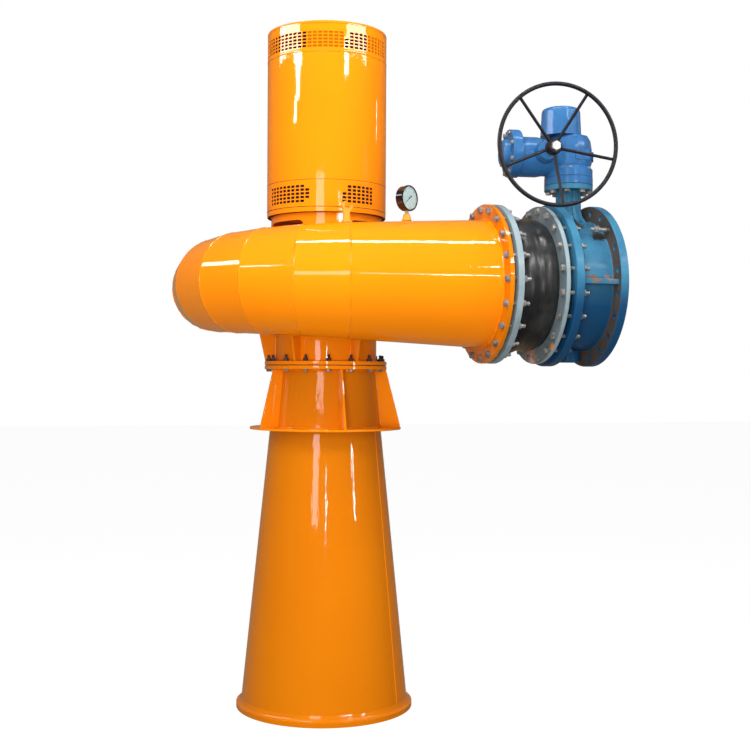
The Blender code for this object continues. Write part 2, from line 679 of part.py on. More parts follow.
def rubber_profile():
    """The joint's wall: a sealing flange, a neck, one wide arch and the same again, with a smooth bore."""
    near = RUBBER_FLANGE_NEAR_X
    far = RUBBER_FLANGE_FAR_X
    start = NEAR_RING_X[1] + RUBBER_ARCH_MARGIN
    end = FAR_RING_X[0] - RUBBER_ARCH_MARGIN
    outer = [
        (RUBBER_FLANGE_RADIUS, near[0] + GAP),
        (RUBBER_FLANGE_RADIUS, near[1] - GAP),
        (RUBBER_NECK_RADIUS, near[1] - GAP),
        (RUBBER_NECK_RADIUS, start),
    ]
    for step in range(1, 6):
        share = step / 6
        outer.append((RUBBER_NECK_RADIUS + (RUBBER_ARCH_RADIUS - RUBBER_NECK_RADIUS) * math.sin(math.pi * share),
                      start + (end - start) * share))
    outer += [
        (RUBBER_NECK_RADIUS, end),
        (RUBBER_NECK_RADIUS, far[0] + GAP),
        (RUBBER_FLANGE_RADIUS, far[0] + GAP),
        (RUBBER_FLANGE_RADIUS, far[1] - GAP),
    ]
    bore = [(RUBBER_BORE, near[0] + GAP), (RUBBER_BORE, start)]
    for step in range(1, 4):
        share = step / 4
        bore.append((RUBBER_BORE + (RUBBER_ARCH_RADIUS - RUBBER_WALL - RUBBER_BORE) * math.sin(math.pi * share),
                     start + (end - start) * share))
    bore += [(RUBBER_BORE, end), (RUBBER_BORE, far[1] - GAP)]
    return outer[::-1] + bore


def make_inlet(pipe, orange, grey, rubber):
    """Pieces round the pipe's axis: in this frame Z runs away from the turbine."""
    turned("inlet_flange", collar(PIPE_END_RADIUS - PLATE_THICKNESS, DN_FLANGE_RADIUS, *INLET_FLANGE_X), orange, pipe,
           PIPE_STEPS)
    ring_bore = RUBBER_NECK_RADIUS + 3 * GAP
    turned("backing_ring_near", collar(ring_bore, DN_FLANGE_RADIUS, *NEAR_RING_X), grey, pipe, PIPE_STEPS)
    turned("rubber_joint", rubber_profile(), rubber, pipe, PIPE_STEPS)
    turned("backing_ring_far", collar(ring_bore, DN_FLANGE_RADIUS, *FAR_RING_X), grey, pipe, PIPE_STEPS)


def make_valve(turbine, pipe, blue, steel):
    near, far = VALVE_X
    body = turned("valve_body", [
        (VALVE_FLANGE_RADIUS, far),
        (VALVE_FLANGE_RADIUS, far - VALVE_FLANGE_THICKNESS),
        (VALVE_BODY_RADIUS, far - VALVE_FLANGE_THICKNESS),
        (VALVE_BODY_RADIUS, near + VALVE_FLANGE_THICKNESS),
        (VALVE_FLANGE_RADIUS, near + VALVE_FLANGE_THICKNESS),
        (VALVE_FLANGE_RADIUS, near),
        (VALVE_BORE, near),
        (VALVE_BORE, far),
    ], blue, pipe, PIPE_STEPS)
    bm = bmesh.new()
    for index in range(BOLT_COUNT):
        angle = 2 * math.pi * (index + 0.5) / BOLT_COUNT
        x = BOLT_CIRCLE_RADIUS * math.cos(angle)
        y = BOLT_CIRCLE_RADIUS * math.sin(angle)
        rod(bm, BOLT_HOLE_RADIUS, (x, y, far - VALVE_FLANGE_THICKNESS - 0.01), (x, y, far + 0.01), 12)
    cut(body, as_cutter(from_bmesh("hole_cutter", bm, None, pipe, cutters)), "Bolt holes")
    middle = (near + far) / 2
    length = far - near - 2 * VALVE_FLANGE_THICKNESS + 2 * WELD
    bm = bmesh.new()
    for side in (-1, 1):
        reach = VALVE_BODY_RADIUS - WELD + VALVE_RIB_DEPTH / 2
        box(bm, (VALVE_RIB_THICKNESS, VALVE_RIB_DEPTH, length), Matrix.Translation((0.0, side * reach, middle)))
    join(body, as_cutter(from_bmesh("valve_rib_shapes", bm, None, pipe, cutters)), "Ribs")
    saddle = as_cutter(turned("saddle_cutter", bar(VALVE_BODY_RADIUS + GAP, near + 0.01, far - 0.01), None, pipe,
                              PIPE_STEPS, cutters))
    stem = empty("valve_stem_axis", (middle, -PIPE_OFFSET, 0.0), (0.0, 0.0, math.radians(ACTUATOR_TURN)), turbine)
    neck = turned("valve_neck", bar(NECK_RADIUS, PIPE_Z + VALVE_BODY_RADIUS - 0.02, VALVE_TOP_Z[0] - GAP), blue, stem,
                  SMALL_STEPS)
    cut(neck, saddle, "Saddle")
    boss = turned("valve_lower_boss", bar(LOWER_BOSS_RADIUS, PIPE_Z - VALVE_BODY_RADIUS - LOWER_BOSS_DROP,
                                          PIPE_Z - VALVE_BODY_RADIUS + 0.02), blue, stem, SMALL_STEPS)
    cut(boss, saddle, "Saddle")
    turned("valve_disc", [
        (0.0, middle + DISC_MIDDLE),
        (VALVE_BORE * 0.45, middle + DISC_MIDDLE * 0.85),
        (VALVE_BORE - DISC_CHAMFER, middle + DISC_EDGE),
        (VALVE_BORE - GAP * 3, middle + DISC_EDGE * 0.4),
        (VALVE_BORE - GAP * 3, middle - DISC_EDGE * 0.4),
        (VALVE_BORE - DISC_CHAMFER, middle - DISC_EDGE),
        (VALVE_BORE * 0.45, middle - DISC_MIDDLE * 0.85),
        (0.0, middle - DISC_MIDDLE),
    ], steel, pipe, INNER_STEPS)
    return stem


def make_actuator(stem, blue, valve_blue):
    """The stem's frame: Z up, -Y to the front, -X to the control housing."""
    turned("valve_top_flange", bar(ACTUATOR_FLANGE_RADIUS, VALVE_TOP_Z[0], VALVE_TOP_Z[1] - GAP), valve_blue, stem,
           INNER_STEPS)
    turned("actuator_flange", bar(ACTUATOR_FLANGE_RADIUS, ACTUATOR_FLANGE_Z[0], ACTUATOR_FLANGE_Z[1] - GAP), blue,
           stem, INNER_STEPS)
    housing = turned("gear_housing", GEAR_PROFILE, blue, stem, INNER_STEPS)
    arm_frame = empty("arm_axis", (0.0, 0.0, ARM_Z), (0.0, math.radians(-90), 0.0), stem)
    arm = as_cutter(turned("arm_shape", bar(ARM_RADIUS, 0.010, -ARM_END), None, arm_frame, INNER_STEPS,
                           cutters))
    worm_frame = empty("worm_axis", (WORM_OFFSET, 0.0, WORM_Z), (math.radians(90), 0.0, 0.0), stem)
    worm = as_cutter(turned("worm_shape", bar(WORM_BOSS_RADIUS, -0.02, WORM_BOSS_LENGTH), None, worm_frame,
                            INNER_STEPS, cutters))
    join(housing, arm, "Arm")
    join(housing, worm, "Worm boss")
    cover_frame = empty("cover_axis", (COVER_OFFSET, 0.0, GAP), parent=stem)
    turned("gear_housing_cover", COVER_PROFILE, blue, cover_frame, INNER_STEPS)
    control = empty("control_axis", (0.0, 0.0, ARM_Z + CONTROL_RAISE), (0.0, math.radians(-90), 0.0), stem)
    turned("control_flange", bar(CONTROL_FLANGE_RADIUS, -ARM_END + GAP, -CONTROL_FLANGE_END), blue, control,
           INNER_STEPS)
    turned("control_cover", [
        (0.0, -CONTROL_COVER_END),
        (CONTROL_COVER_RADIUS * 0.82, -CONTROL_COVER_END),
        (CONTROL_COVER_RADIUS, -CONTROL_COVER_END - 0.014),
        (CONTROL_COVER_RADIUS, -CONTROL_FLANGE_END + GAP),
        (0.0, -CONTROL_FLANGE_END + GAP),
    ], blue, control, INNER_STEPS)


def make_handwheel(stem, black, steel):
    """The wheel's frame is on its axis: Z runs out to the front and Y up, and Z = 0 is the hub's back face."""
    pivot = empty("handwheel_pivot", (WORM_OFFSET, -HUB_OUT, WORM_Z), (math.radians(90), 0.0, 0.0), stem)
    turned("handwheel_shaft", bar(WHEEL_SHAFT_RADIUS, WORM_BOSS_LENGTH - HUB_OUT + GAP, -GAP), steel, pivot,
           SMALL_STEPS)
    spider = turned("handwheel_spider", bar(WHEEL_HUB_RADIUS, 0.0, WHEEL_HUB_LENGTH), black, pivot, SMALL_STEPS)
    bm = bmesh.new()
    hub_middle = WHEEL_HUB_LENGTH / 2
    for index in range(WHEEL_SPOKES):
        angle = math.radians(WHEEL_FIRST_SPOKE + index * 360 / WHEEL_SPOKES)
        way = Vector((math.cos(angle), math.sin(angle), 0.0))
        start = way * (WHEEL_HUB_RADIUS - 2 * WELD) + Vector((0.0, 0.0, hub_middle))
        run = way * WHEEL_RADIUS + Vector((0.0, 0.0, hub_middle + WHEEL_DISH)) - start
        end = start + run.normalized() * (run.length - WHEEL_RIM_TUBE - WHEEL_RIM_GAP)
        rod(bm, WHEEL_SPOKE_TUBE, start, end, 12)
    join(spider, as_cutter(from_bmesh("spoke_shapes", bm, None, pivot, cutters)), "Spokes")
    rim_z = hub_middle + WHEEL_DISH
    rim = [(WHEEL_RADIUS + WHEEL_RIM_TUBE * math.cos(a), rim_z + WHEEL_RIM_TUBE * math.sin(a))
           for a in (math.radians(90 - step * 45) for step in range(8))]
    made = turned("handwheel_rim", rim, black, pivot, WHEEL_SPOKES * 10)
    made.rotation_euler.z = math.radians(WHEEL_FIRST_SPOKE)
    turned("handwheel_nut", bar(NUT_RADIUS, WHEEL_HUB_LENGTH + GAP, WHEEL_HUB_LENGTH + NUT_LENGTH), steel, pivot, 6)


wipe_scene()
parts = new_collection(COLLECTION)
cutters = new_collection("cutters", hidden=True)

orange = new_material("orange_paint", (0.95, 0.33, 0.02), 0.22)
blue = new_material("actuator_blue_paint", (0.045, 0.20, 0.50), 0.35)
valve_blue = new_material("valve_blue_paint", (0.05, 0.20, 0.33), 0.40)
grey = new_material("grey_paint", (0.28, 0.38, 0.41), 0.45)
rubber = new_material("black_rubber", (0.03, 0.03, 0.035), 0.70)
black = new_material("black_enamel", (0.012, 0.012, 0.014), 0.25)
steel = new_material("bright_steel", (0.62, 0.62, 0.62), 0.30, 1.0)
bronze = new_material("bronze", (0.42, 0.27, 0.10), 0.35, 1.0)
brass = new_material("brass", (0.60, 0.48, 0.22), 0.30, 1.0)
dark = new_material("dark_housing", (0.03, 0.03, 0.03), 0.50)
white = new_material("white_dial", (0.80, 0.82, 0.80), 0.40)

turbine_axis = empty("turbine_axis", (TURBINE_X, TURBINE_Y, 0.0))
pipe_axis = empty("pipe_axis", (0.0, -PIPE_OFFSET, PIPE_Z), (0.0, math.radians(90), 0.0), turbine_axis)

make_draft_tube(turbine_axis, orange)
make_throat(turbine_axis, orange, rubber)
make_stay_ring(turbine_axis, orange)
make_scroll(turbine_axis, orange)
make_eye(turbine_axis, orange)
make_runner(turbine_axis, steel, bronze)
make_stand(turbine_axis, orange)
make_generator(turbine_axis, orange, dark)
make_gauge(turbine_axis, orange, brass, dark, white)
make_inlet(pipe_axis, orange, grey, rubber)
valve_stem_axis = make_valve(turbine_axis, pipe_axis, valve_blue, steel)
make_actuator(valve_stem_axis, blue, valve_blue)
make_handwheel(valve_stem_axis, black, steel)
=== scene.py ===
"""Looks of a vertical Kaplan turbine generating set with its scroll case, draft tube and inlet valve."""

import math

import bpy
from mathutils import Matrix, Vector


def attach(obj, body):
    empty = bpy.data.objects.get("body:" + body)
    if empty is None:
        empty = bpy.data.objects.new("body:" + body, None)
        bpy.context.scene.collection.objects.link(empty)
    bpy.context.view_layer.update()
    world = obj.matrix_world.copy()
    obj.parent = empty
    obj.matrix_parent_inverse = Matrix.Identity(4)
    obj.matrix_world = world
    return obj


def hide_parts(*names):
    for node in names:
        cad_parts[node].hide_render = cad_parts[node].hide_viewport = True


bl_info = {
    "name": "Kaplan turbine generating set",
    "version": (1, 0, 0),
    "blender": (4, 5, 0),
    "location": "3D View > Sidebar > Turbine",
    "description": "Detailed pieces and finishes of a vertical turbine set with its inlet valve",
    "category": "Object",
}

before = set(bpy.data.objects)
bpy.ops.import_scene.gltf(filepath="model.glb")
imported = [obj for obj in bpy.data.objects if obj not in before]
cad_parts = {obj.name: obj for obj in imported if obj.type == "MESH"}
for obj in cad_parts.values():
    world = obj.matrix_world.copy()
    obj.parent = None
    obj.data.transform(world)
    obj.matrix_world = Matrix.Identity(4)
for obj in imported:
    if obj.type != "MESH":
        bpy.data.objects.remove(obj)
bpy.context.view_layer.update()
SET = "turbine_set"
WHEEL = "handwheel"


def shift(x, y, z):
    return Matrix.Translation((x, y, z))


def around(angle, axis="Z"):
    return Matrix.Rotation(math.radians(angle), 4, axis)


# Axes of the turbine, the pipe, the valve's stem and the handwheel, in metres and degrees
AXIS_X = -0.1861
AXIS_Y = 0.1385
PIPE_Y = -0.3915
PIPE_OFFSET = -0.530
PIPE_Z = 1.878
STEM_X = AXIS_X + 0.951
STEM_TURN = -5.4
WORM_Z = 2.4412

UP = shift(AXIS_X, AXIS_Y, 0.0)
ALONG = shift(AXIS_X, PIPE_Y, PIPE_Z) @ around(90, "Y")
STEM = shift(STEM_X, PIPE_Y, 0.0) @ around(STEM_TURN)
WHEEL_AXIS = STEM @ shift(-0.1318, -0.1745, WORM_Z) @ around(90, "X")
HERE = Matrix.Identity(4)

# Gap between seated pieces, reach for merging points, and sizes that several pieces share, in metres
SEAT = 0.0003
MERGE = 0.00001
PLATE = 0.008
THROAT_BORE = 0.2148
THROAT_FLANGE = 0.2765
SCROLL_RADIUS = 0.2394
GENERATOR_RADIUS = 0.269
PIPE_FLANGE = 0.3365
BOLT_CIRCLE = 0.3145
BOLT_COUNT = 20
WHEEL_RADIUS = 0.2493
WHEEL_TUBE = 0.0088
WHEEL_PLANE = 0.0775

# Bearing of the camera from the turbine's axis in degrees from +X, and the point that the soft lights face
CAMERA_SIDE = -103.0
MIDDLE = (0.0, 0.0, 1.8)
WHITE = (1.0, 1.0, 1.0, 1.0)


class TurbineFinish(bpy.types.PropertyGroup):
    """Colours of the paints and the bare parts."""

    orange: bpy.props.FloatVectorProperty(
        name="Orange", description="Gloss paint of the set", subtype="COLOR", default=(0.95, 0.262, 0.004))
    orange_deep: bpy.props.FloatVectorProperty(
        name="Deep orange", description="Thin and shaded places of the gloss paint", subtype="COLOR",
        default=(0.84, 0.195, 0.003))
    grey: bpy.props.FloatVectorProperty(
        name="Grey", description="Paint of the backing rings", subtype="COLOR", default=(0.27, 0.34, 0.37))
    valve: bpy.props.FloatVectorProperty(
        name="Valve blue", description="Paint of the valve's body", subtype="COLOR", default=(0.040, 0.190, 0.310))
    actuator: bpy.props.FloatVectorProperty(
        name="Actuator blue", description="Paint of the gear housing", subtype="COLOR", default=(0.030, 0.140, 0.330))
    rubber: bpy.props.FloatVectorProperty(
        name="Rubber", description="Expansion joint and gaskets", subtype="COLOR", default=(0.013, 0.012, 0.012))
    enamel: bpy.props.FloatVectorProperty(
        name="Black enamel", description="Handwheel's paint", subtype="COLOR", default=(0.004, 0.004, 0.005))


class TurbineSizes(bpy.types.PropertyGroup):
    """Sizes of the details that the solids leave out."""

    facets: bpy.props.IntProperty(
        name="Facets", description="Faces round a large turned piece", default=160, min=32, max=256)
    vent_columns: bpy.props.IntProperty(
        name="Vent columns", description="Places for vents round a guard", default=72, min=24, max=160)
    vent_rib: bpy.props.FloatProperty(
        name="Vent rib", description="Half the metal left between two vents", default=0.0024, unit="LENGTH")
    flange_bolt: bpy.props.FloatProperty(
        name="Flange bolt", description="Radius of the studs in the pipe's flanges", default=0.0080, unit="LENGTH")
    throat_bolt: bpy.props.FloatProperty(
        name="Throat bolt", description="Radius of the studs in the throat's flanges", default=0.0060,
        unit="LENGTH")
    weld_bead: bpy.props.FloatProperty(
        name="Weld bead", description="Radius of a seam's weld bead", default=0.0046, unit="LENGTH")


class TurbineStudio(bpy.types.PropertyGroup):
    """Camera and lights."""

    lens: bpy.props.FloatProperty(name="Lens", description="Focal length in millimetres", default=57.6)
    bearing: bpy.props.FloatProperty(
        name="Bearing", description="Camera's turn round the set", subtype="ANGLE", default=math.radians(15.4))
    distance: bpy.props.FloatProperty(
        name="Distance", description="From the camera to the turbine's axis", default=5.454, unit="LENGTH")
    height: bpy.props.FloatProperty(name="Height", description="Camera's height", default=1.491, unit="LENGTH")
    aside: bpy.props.FloatProperty(
        name="Aside", description="Camera's place to the right of the axis", default=0.2269, unit="LENGTH")
    roll: bpy.props.FloatProperty(
        name="Roll", description="Camera's tilt to the side", subtype="ANGLE", default=math.radians(0.28))
    sky: bpy.props.FloatProperty(name="Sky", description="Light from above", default=0.36)
    horizon: bpy.props.FloatProperty(name="Horizon", description="Light from the sides", default=0.24)
    ground: bpy.props.FloatProperty(name="Ground", description="Light thrown back from below", default=0.46)
    gloss_sky: bpy.props.FloatProperty(name="Sky in gloss", description="What gloss shows above", default=0.12)
    gloss_horizon: bpy.props.FloatProperty(
        name="Horizon in gloss", description="What gloss shows at the sides", default=0.02)
    gloss_behind: bpy.props.FloatProperty(
        name="Behind in gloss", description="What gloss shows of the far side, at the outlines", default=0.34)


# Tools for modelling


def edit(kind="VERT"):
    bpy.ops.object.mode_set(mode="EDIT")
    bpy.ops.mesh.select_mode(type=kind)


def leave():
    bpy.ops.object.mode_set(mode="OBJECT")


def nothing_selected():
    if bpy.context.mode != "OBJECT":
        leave()
    bpy.ops.object.select_all(action="DESELECT")


def only(piece):
    nothing_selected()
    piece.select_set(True)
    bpy.context.view_layer.objects.active = piece


def edit_whole(piece):
    """Opens a piece in edit mode with all of it selected."""
    only(piece)
    edit()
    bpy.ops.mesh.select_all(action="SELECT")


def named(name):
    piece = bpy.context.object
    piece.name = name
    piece.data.name = name
    return piece


def start_point(point):
    """A mesh of one vertex, ready to be drawn out."""
    nothing_selected()
    bpy.ops.mesh.primitive_plane_add(size=0.01)
    edit()
    bpy.ops.mesh.select_all(action="SELECT")
    bpy.ops.mesh.merge(type="CENTER")
    bpy.ops.transform.translate(value=point)


def draw_to(points):
    """Draws the selected vertex on through the points, given as steps from one to the next."""
    here = points[0]
    for there in points[1:]:
        bpy.ops.mesh.extrude_region_move(TRANSFORM_OT_translate={"value": there - here})
        here = there


def clean(piece):
    """Merges doubled points and turns every face outwards."""
    edit_whole(piece)
    bpy.ops.mesh.remove_doubles(threshold=MERGE)
    bpy.ops.mesh.normals_make_consistent(inside=False)
    leave()


def turn(name, profile, steps, place=HERE, closed=True):
    """A turned piece about its frame's Z, spun from a drawn profile of (radius, height).

    The profile closes on itself, unless it meets its axis or the piece is an open sheet.
    """
    points = [Vector((radius, 0.0, height)) for radius, height in profile]
    if closed and profile[0][0] > 0 and profile[-1][0] > 0:
        points.append(points[0])
    start_point(points[0])
    draw_to(points)
    bpy.ops.mesh.select_all(action="SELECT")
    bpy.ops.mesh.spin(steps=steps, angle=2 * math.pi, center=(0, 0, 0), axis=(0, 0, 1))
    leave()
    piece = named(name)
    clean(piece)
    return put(piece, place)


def cut_plate(name, outline, thickness, place=HERE):
    """A flat plate of the outline, (x, z) points, with its middle on the frame's XZ plane."""
    points = [Vector((x, -thickness / 2, z)) for x, z in outline]
    start_point(points[0])
    draw_to(points + points[:1])
    bpy.ops.mesh.select_all(action="SELECT")
    bpy.ops.mesh.remove_doubles(threshold=MERGE)
    bpy.ops.mesh.edge_face_add()
    bpy.ops.mesh.extrude_region_move(TRANSFORM_OT_translate={"value": (0.0, thickness, 0.0)})
    leave()
    piece = named(name)
    clean(piece)
    return put(piece, place)


def put(piece, place):
    """Moves a piece to its place and leaves its object at the origin."""
    piece.matrix_world = place @ piece.matrix_world
    only(piece)
    bpy.ops.object.transform_apply()
    return piece


def modify(piece, kind, **settings):
    only(piece)
    made = piece.modifiers.new(kind.title(), kind)
    for key, value in settings.items():
        setattr(made, key, value)
    bpy.ops.object.modifier_apply(modifier=made.name)
    return piece


def round_edges(piece, width, segments=2, angle=35.0):
    return modify(piece, "BEVEL", width=width, segments=segments, limit_method="ANGLE",
                  angle_limit=math.radians(angle), use_clamp_overlap=True)


def combine(piece, other, operation):
    """Cuts the other piece out of this one, or joins it to this one. The other piece goes."""
    modify(piece, "BOOLEAN", operation=operation, solver="EXACT", object=other)
    bpy.data.objects.remove(other)


def copy_at(piece, place):
    only(piece)
    bpy.ops.object.duplicate(linked=False)
    made = bpy.context.object
    made.matrix_world = place @ made.matrix_world
    bpy.ops.object.transform_apply()
    return made


def gather(name, pieces):
    nothing_selected()
    for piece in pieces:
        piece.select_set(True)
    bpy.context.view_layer.objects.active = pieces[0]
    if len(pieces) > 1:
        bpy.ops.object.join()
    return named(name)


def repeated(name, model, places):
    """Copies of a model at each place, joined to one piece. The model goes."""
    made = gather(name, [copy_at(model, place) for place in places])
    bpy.data.objects.remove(model)
    return made


def pick_faces(piece, test):
    """Selects the faces whose middle and normal pass the test, in edit mode."""
    only(piece)
    edit("FACE")
    bpy.ops.mesh.select_all(action="DESELECT")
    leave()
    count = 0
    for face in piece.data.polygons:
        face.select = test(face)
        count += face.select
    if not count:
        raise RuntimeError(f"no face of {piece.name} was picked")
    bpy.ops.object.mode_set(mode="EDIT")


def finish(piece, material, body=SET, stands_for=(), angle=32.0):
    """Smooths a piece, gives it its finish and that finish's slot, and lets it ride on its body."""
    only(piece)
    bpy.ops.object.shade_smooth_by_angle(angle=math.radians(angle))
    modify(piece, "WEIGHTED_NORMAL", keep_sharp=True)
    piece.data.materials.clear()
    piece.data.materials.append(bpy.data.materials[material])
    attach(piece, body)
    if stands_for:
        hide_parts(*stands_for)
    return piece


def second_finish(piece, material, test):
    """Gives the faces that pass the test a finish of their own."""
    piece.data.materials.append(bpy.data.materials[material])
    pick_faces(piece, test)
    piece.active_material_index = 1
    bpy.ops.object.material_slot_assign()
    leave()


def turned_part(name, node, profile, steps, place, material, edge=0.0):
    """A turned piece with its edges rounded, which stands for one solid."""
    piece = turn(name, profile, steps, place)
    if edge:
        round_edges(piece, edge)
    return finish(piece, material, stands_for=[node])


def collar(inner, outer, foot, top):
    return [(outer, top), (outer, foot), (inner, foot), (inner, top)]


# Materials


def add_node(tree, kind, inputs=None, **settings):
    made = tree.nodes.new(kind)
    for key, value in settings.items():
        setattr(made, key, value)
    for key, value in (inputs or {}).items():
        if isinstance(value, bpy.types.NodeSocket):
            tree.links.new(value, made.inputs[key])
        else:
            made.inputs[key].default_value = value
    return made


def colour(value):
    return (*value, 1.0)


def grey(value):
    return (value, value, value, 1.0)


def new_finish(name, roughness, metallic=0.0, coat=0.0, coat_roughness=0.05):
    made = bpy.data.materials.new(name)
    made.use_nodes = True
    tree = made.node_tree
    shader = tree.nodes["Principled BSDF"]
    shader.inputs["Roughness"].default_value = roughness
    shader.inputs["Metallic"].default_value = metallic
    shader.inputs["Coat Weight"].default_value = coat
    shader.inputs["Coat Roughness"].default_value = coat_roughness
    where = add_node(tree, "ShaderNodeTexCoord").outputs["Object"]
    return tree, shader, where


def noise(tree, where, scale, detail=3.0, roughness=0.55):
    return add_node(tree, "ShaderNodeTexNoise", {
        "Vector": where, "Scale": scale, "Detail": detail, "Roughness": roughness}).outputs["Fac"]


def ramp(tree, value, low, high):
    """Stretches a value so that low gives 0 and high gives 1."""
    return add_node(tree, "ShaderNodeMapRange", {
        "Value": value, "From Min": low, "From Max": high}).outputs["Result"]


def blend(tree, share, first, second):
    made = add_node(tree, "ShaderNodeMix", data_type="RGBA")
    for socket, value in ((0, share), (6, first), (7, second)):
        if isinstance(value, bpy.types.NodeSocket):
            tree.links.new(value, made.inputs[socket])
        else:
            made.inputs[socket].default_value = value
    return made.outputs[2]


def scaled(tree, value, factor):
    return add_node(tree, "ShaderNodeMath", {0: value, 1: factor}, operation="MULTIPLY").outputs[0]


def bump(tree, shader, layers):
    """Stacks bumps of (height, strength, distance)."""
    normal = None
    for height, strength, distance in layers:
        inputs = {"Height": height, "Strength": strength, "Distance": distance}
        if normal:
            inputs["Normal"] = normal
        normal = add_node(tree, "ShaderNodeBump", inputs).outputs["Normal"]
    tree.links.new(normal, shader.inputs["Normal"])
    return normal


def vary_roughness(tree, shader, value, low, high):
    result = add_node(tree, "ShaderNodeMapRange", {"Value": value, "To Min": low, "To Max": min(1.0, high)}).outputs[0]
    tree.links.new(result, shader.inputs["Roughness"])


def level(tree, where, low, high):
    """0 at one height and 1 at another."""
    split = add_node(tree, "ShaderNodeSeparateXYZ", {"Vector": where}).outputs
    return ramp(tree, split["Z"], low, high)


def make_gloss_paint(name, main, deep, marks, roughness=0.30, streaks=0.16, polish=0.03):
    """Thick gloss paint over rolled plate: slow waves, orange peel, runs and a few small marks."""
    tree, shader, where = new_finish(name, roughness, coat=1.0, coat_roughness=polish)
    shader.inputs["Specular IOR Level"].default_value = 0.0
    cloud = ramp(tree, noise(tree, where, 2.2, 2.0), 0.30, 0.75)
    base = blend(tree, scaled(tree, cloud, 0.35), colour(main), colour(deep))
    fine = ramp(tree, noise(tree, where, 90.0, 2.0), 0.45, 0.75)
    base = blend(tree, scaled(tree, fine, 0.10), base, colour(deep))
    spots = ramp(tree, noise(tree, where, 46.0, 4.0, 0.7), 0.735, 0.76)
    base = blend(tree, scaled(tree, spots, marks), base, (0.16, 0.045, 0.006, 1.0))
    tree.links.new(base, shader.inputs["Base Color"])
    waves = noise(tree, where, 5.0, 2.0, 0.4)
    peel = noise(tree, where, 55.0, 2.0)
    upright = add_node(tree, "ShaderNodeMapping", {"Vector": where, "Scale": (1.0, 1.0, 0.22)}).outputs["Vector"]
    runs = noise(tree, upright, 26.0, 3.0, 0.6)
    normal = bump(tree, shader, [(waves, 0.14, 0.012), (runs, streaks, 0.0022), (peel, 0.10, 0.0012),
                                 (spots, 0.3, -0.0006)])
    tree.links.new(normal, shader.inputs["Coat Normal"])


def mark_at(tree, where, point, reach, ragged):
    """1 near a point and 0 away from it, with a ragged edge."""
    away = add_node(tree, "ShaderNodeVectorMath", {0: where, 1: point}, operation="DISTANCE").outputs["Value"]
    away = add_node(tree, "ShaderNodeMath", {0: away, 1: scaled(tree, noise(tree, where, 45.0, 5.0, 0.7), ragged)},
                    operation="ADD").outputs[0]
    return ramp(tree, away, reach + ragged * 0.5 + 0.004, reach + ragged * 0.5 - 0.004)


def make_worn_paint(name, main, under, rust, roughness, wear, gloss=0.12, low=None, marks=()):
    """Brushed machine paint: uneven coats, grime in patches, chips and rust, and where asked a darker lower part that
    is partly painted shade.
    """
    tree, shader, where = new_finish(name, roughness, coat=gloss, coat_roughness=0.12)
    shader.inputs["Specular IOR Level"].default_value = 0.15
    patch = ramp(tree, noise(tree, where, 7.0, 5.0, 0.62), 0.35, 0.70)
    base = blend(tree, patch, colour(main), colour(under))
    # A darker colour blended in towards the bottom: partly a deeper coat, partly painted shade.
    if low:
        base = blend(tree, level(tree, where, low[1], low[0]), base, low[2])
    grime = ramp(tree, noise(tree, where, 24.0, 6.0, 0.7), 0.52, 0.80)
    base = blend(tree, scaled(tree, grime, 0.35), base, (0.035, 0.030, 0.024, 1.0))
    chips = ramp(tree, noise(tree, where, 34.0, 6.0, 0.75), wear, wear + 0.04)
    base = blend(tree, chips, base, rust)
    for point, reach, tint, ragged in marks:
        base = blend(tree, mark_at(tree, where, point, reach, ragged), base, tint)
    tree.links.new(base, shader.inputs["Base Color"])
    vary_roughness(tree, shader, grime, roughness, roughness + 0.35)
    cast = noise(tree, where, 120.0, 3.0)
    bump(tree, shader, [(cast, 0.20, 0.0012), (chips, 0.5, -0.0006), (patch, 0.15, 0.002)])


def make_rubber(name, main):
    tree, shader, where = new_finish(name, 0.50, coat=0.28, coat_roughness=0.20)
    dust = ramp(tree, noise(tree, where, 9.0, 6.0, 0.65), 0.42, 0.80)
    base = blend(tree, scaled(tree, dust, 0.45), colour(main), (0.085, 0.083, 0.08, 1.0))
    scuff = ramp(tree, noise(tree, where, 60.0, 5.0, 0.75), 0.62, 0.78)
    base = blend(tree, scaled(tree, scuff, 0.5), base, (0.12, 0.118, 0.112, 1.0))
    tree.links.new(base, shader.inputs["Base Color"])
    vary_roughness(tree, shader, dust, 0.34, 0.70)
    bump(tree, shader, [(noise(tree, where, 18.0, 3.0), 0.3, 0.004), (noise(tree, where, 260.0, 2.0), 0.2, 0.0006)])


def make_metal(name, light, dull, roughness, metallic=1.0, scale=40.0):
    """Bare or plated metal: mottled, with streaks and a dull film in places."""
    tree, shader, where = new_finish(name, roughness, metallic=metallic)
    film = ramp(tree, noise(tree, where, scale, 5.0, 0.65), 0.38, 0.72)
    base = blend(tree, film, light, dull)
    tree.links.new(base, shader.inputs["Base Color"])
    vary_roughness(tree, shader, film, roughness, roughness + 0.25)
    bump(tree, shader, [(noise(tree, where, scale * 7, 2.0), 0.15, 0.0004)])


def make_enamel(name, main):
    tree, shader, where = new_finish(name, 0.22, coat=0.55, coat_roughness=0.03)
    shader.inputs["Specular IOR Level"].default_value = 0.05
    worn = ramp(tree, noise(tree, where, 28.0, 5.0, 0.7), 0.60, 0.74)
    base = blend(tree, scaled(tree, worn, 0.10), colour(main), (0.045, 0.043, 0.040, 1.0))
    tree.links.new(base, shader.inputs["Base Color"])
    bump(tree, shader, [(noise(tree, where, 70.0, 3.0), 0.10, 0.0006), (worn, 0.2, -0.0003)])


def make_dial_paint():
    tree, shader, where = new_finish("dial_enamel", 0.35, coat=0.3)
    age = ramp(tree, noise(tree, where, 60.0, 4.0), 0.4, 0.8)
    tree.links.new(blend(tree, age, (0.58, 0.74, 0.70, 1.0), (0.50, 0.64, 0.60, 1.0)), shader.inputs["Base Color"])
    bump(tree, shader, [(noise(tree, where, 300.0, 2.0), 0.1, 0.0002)])


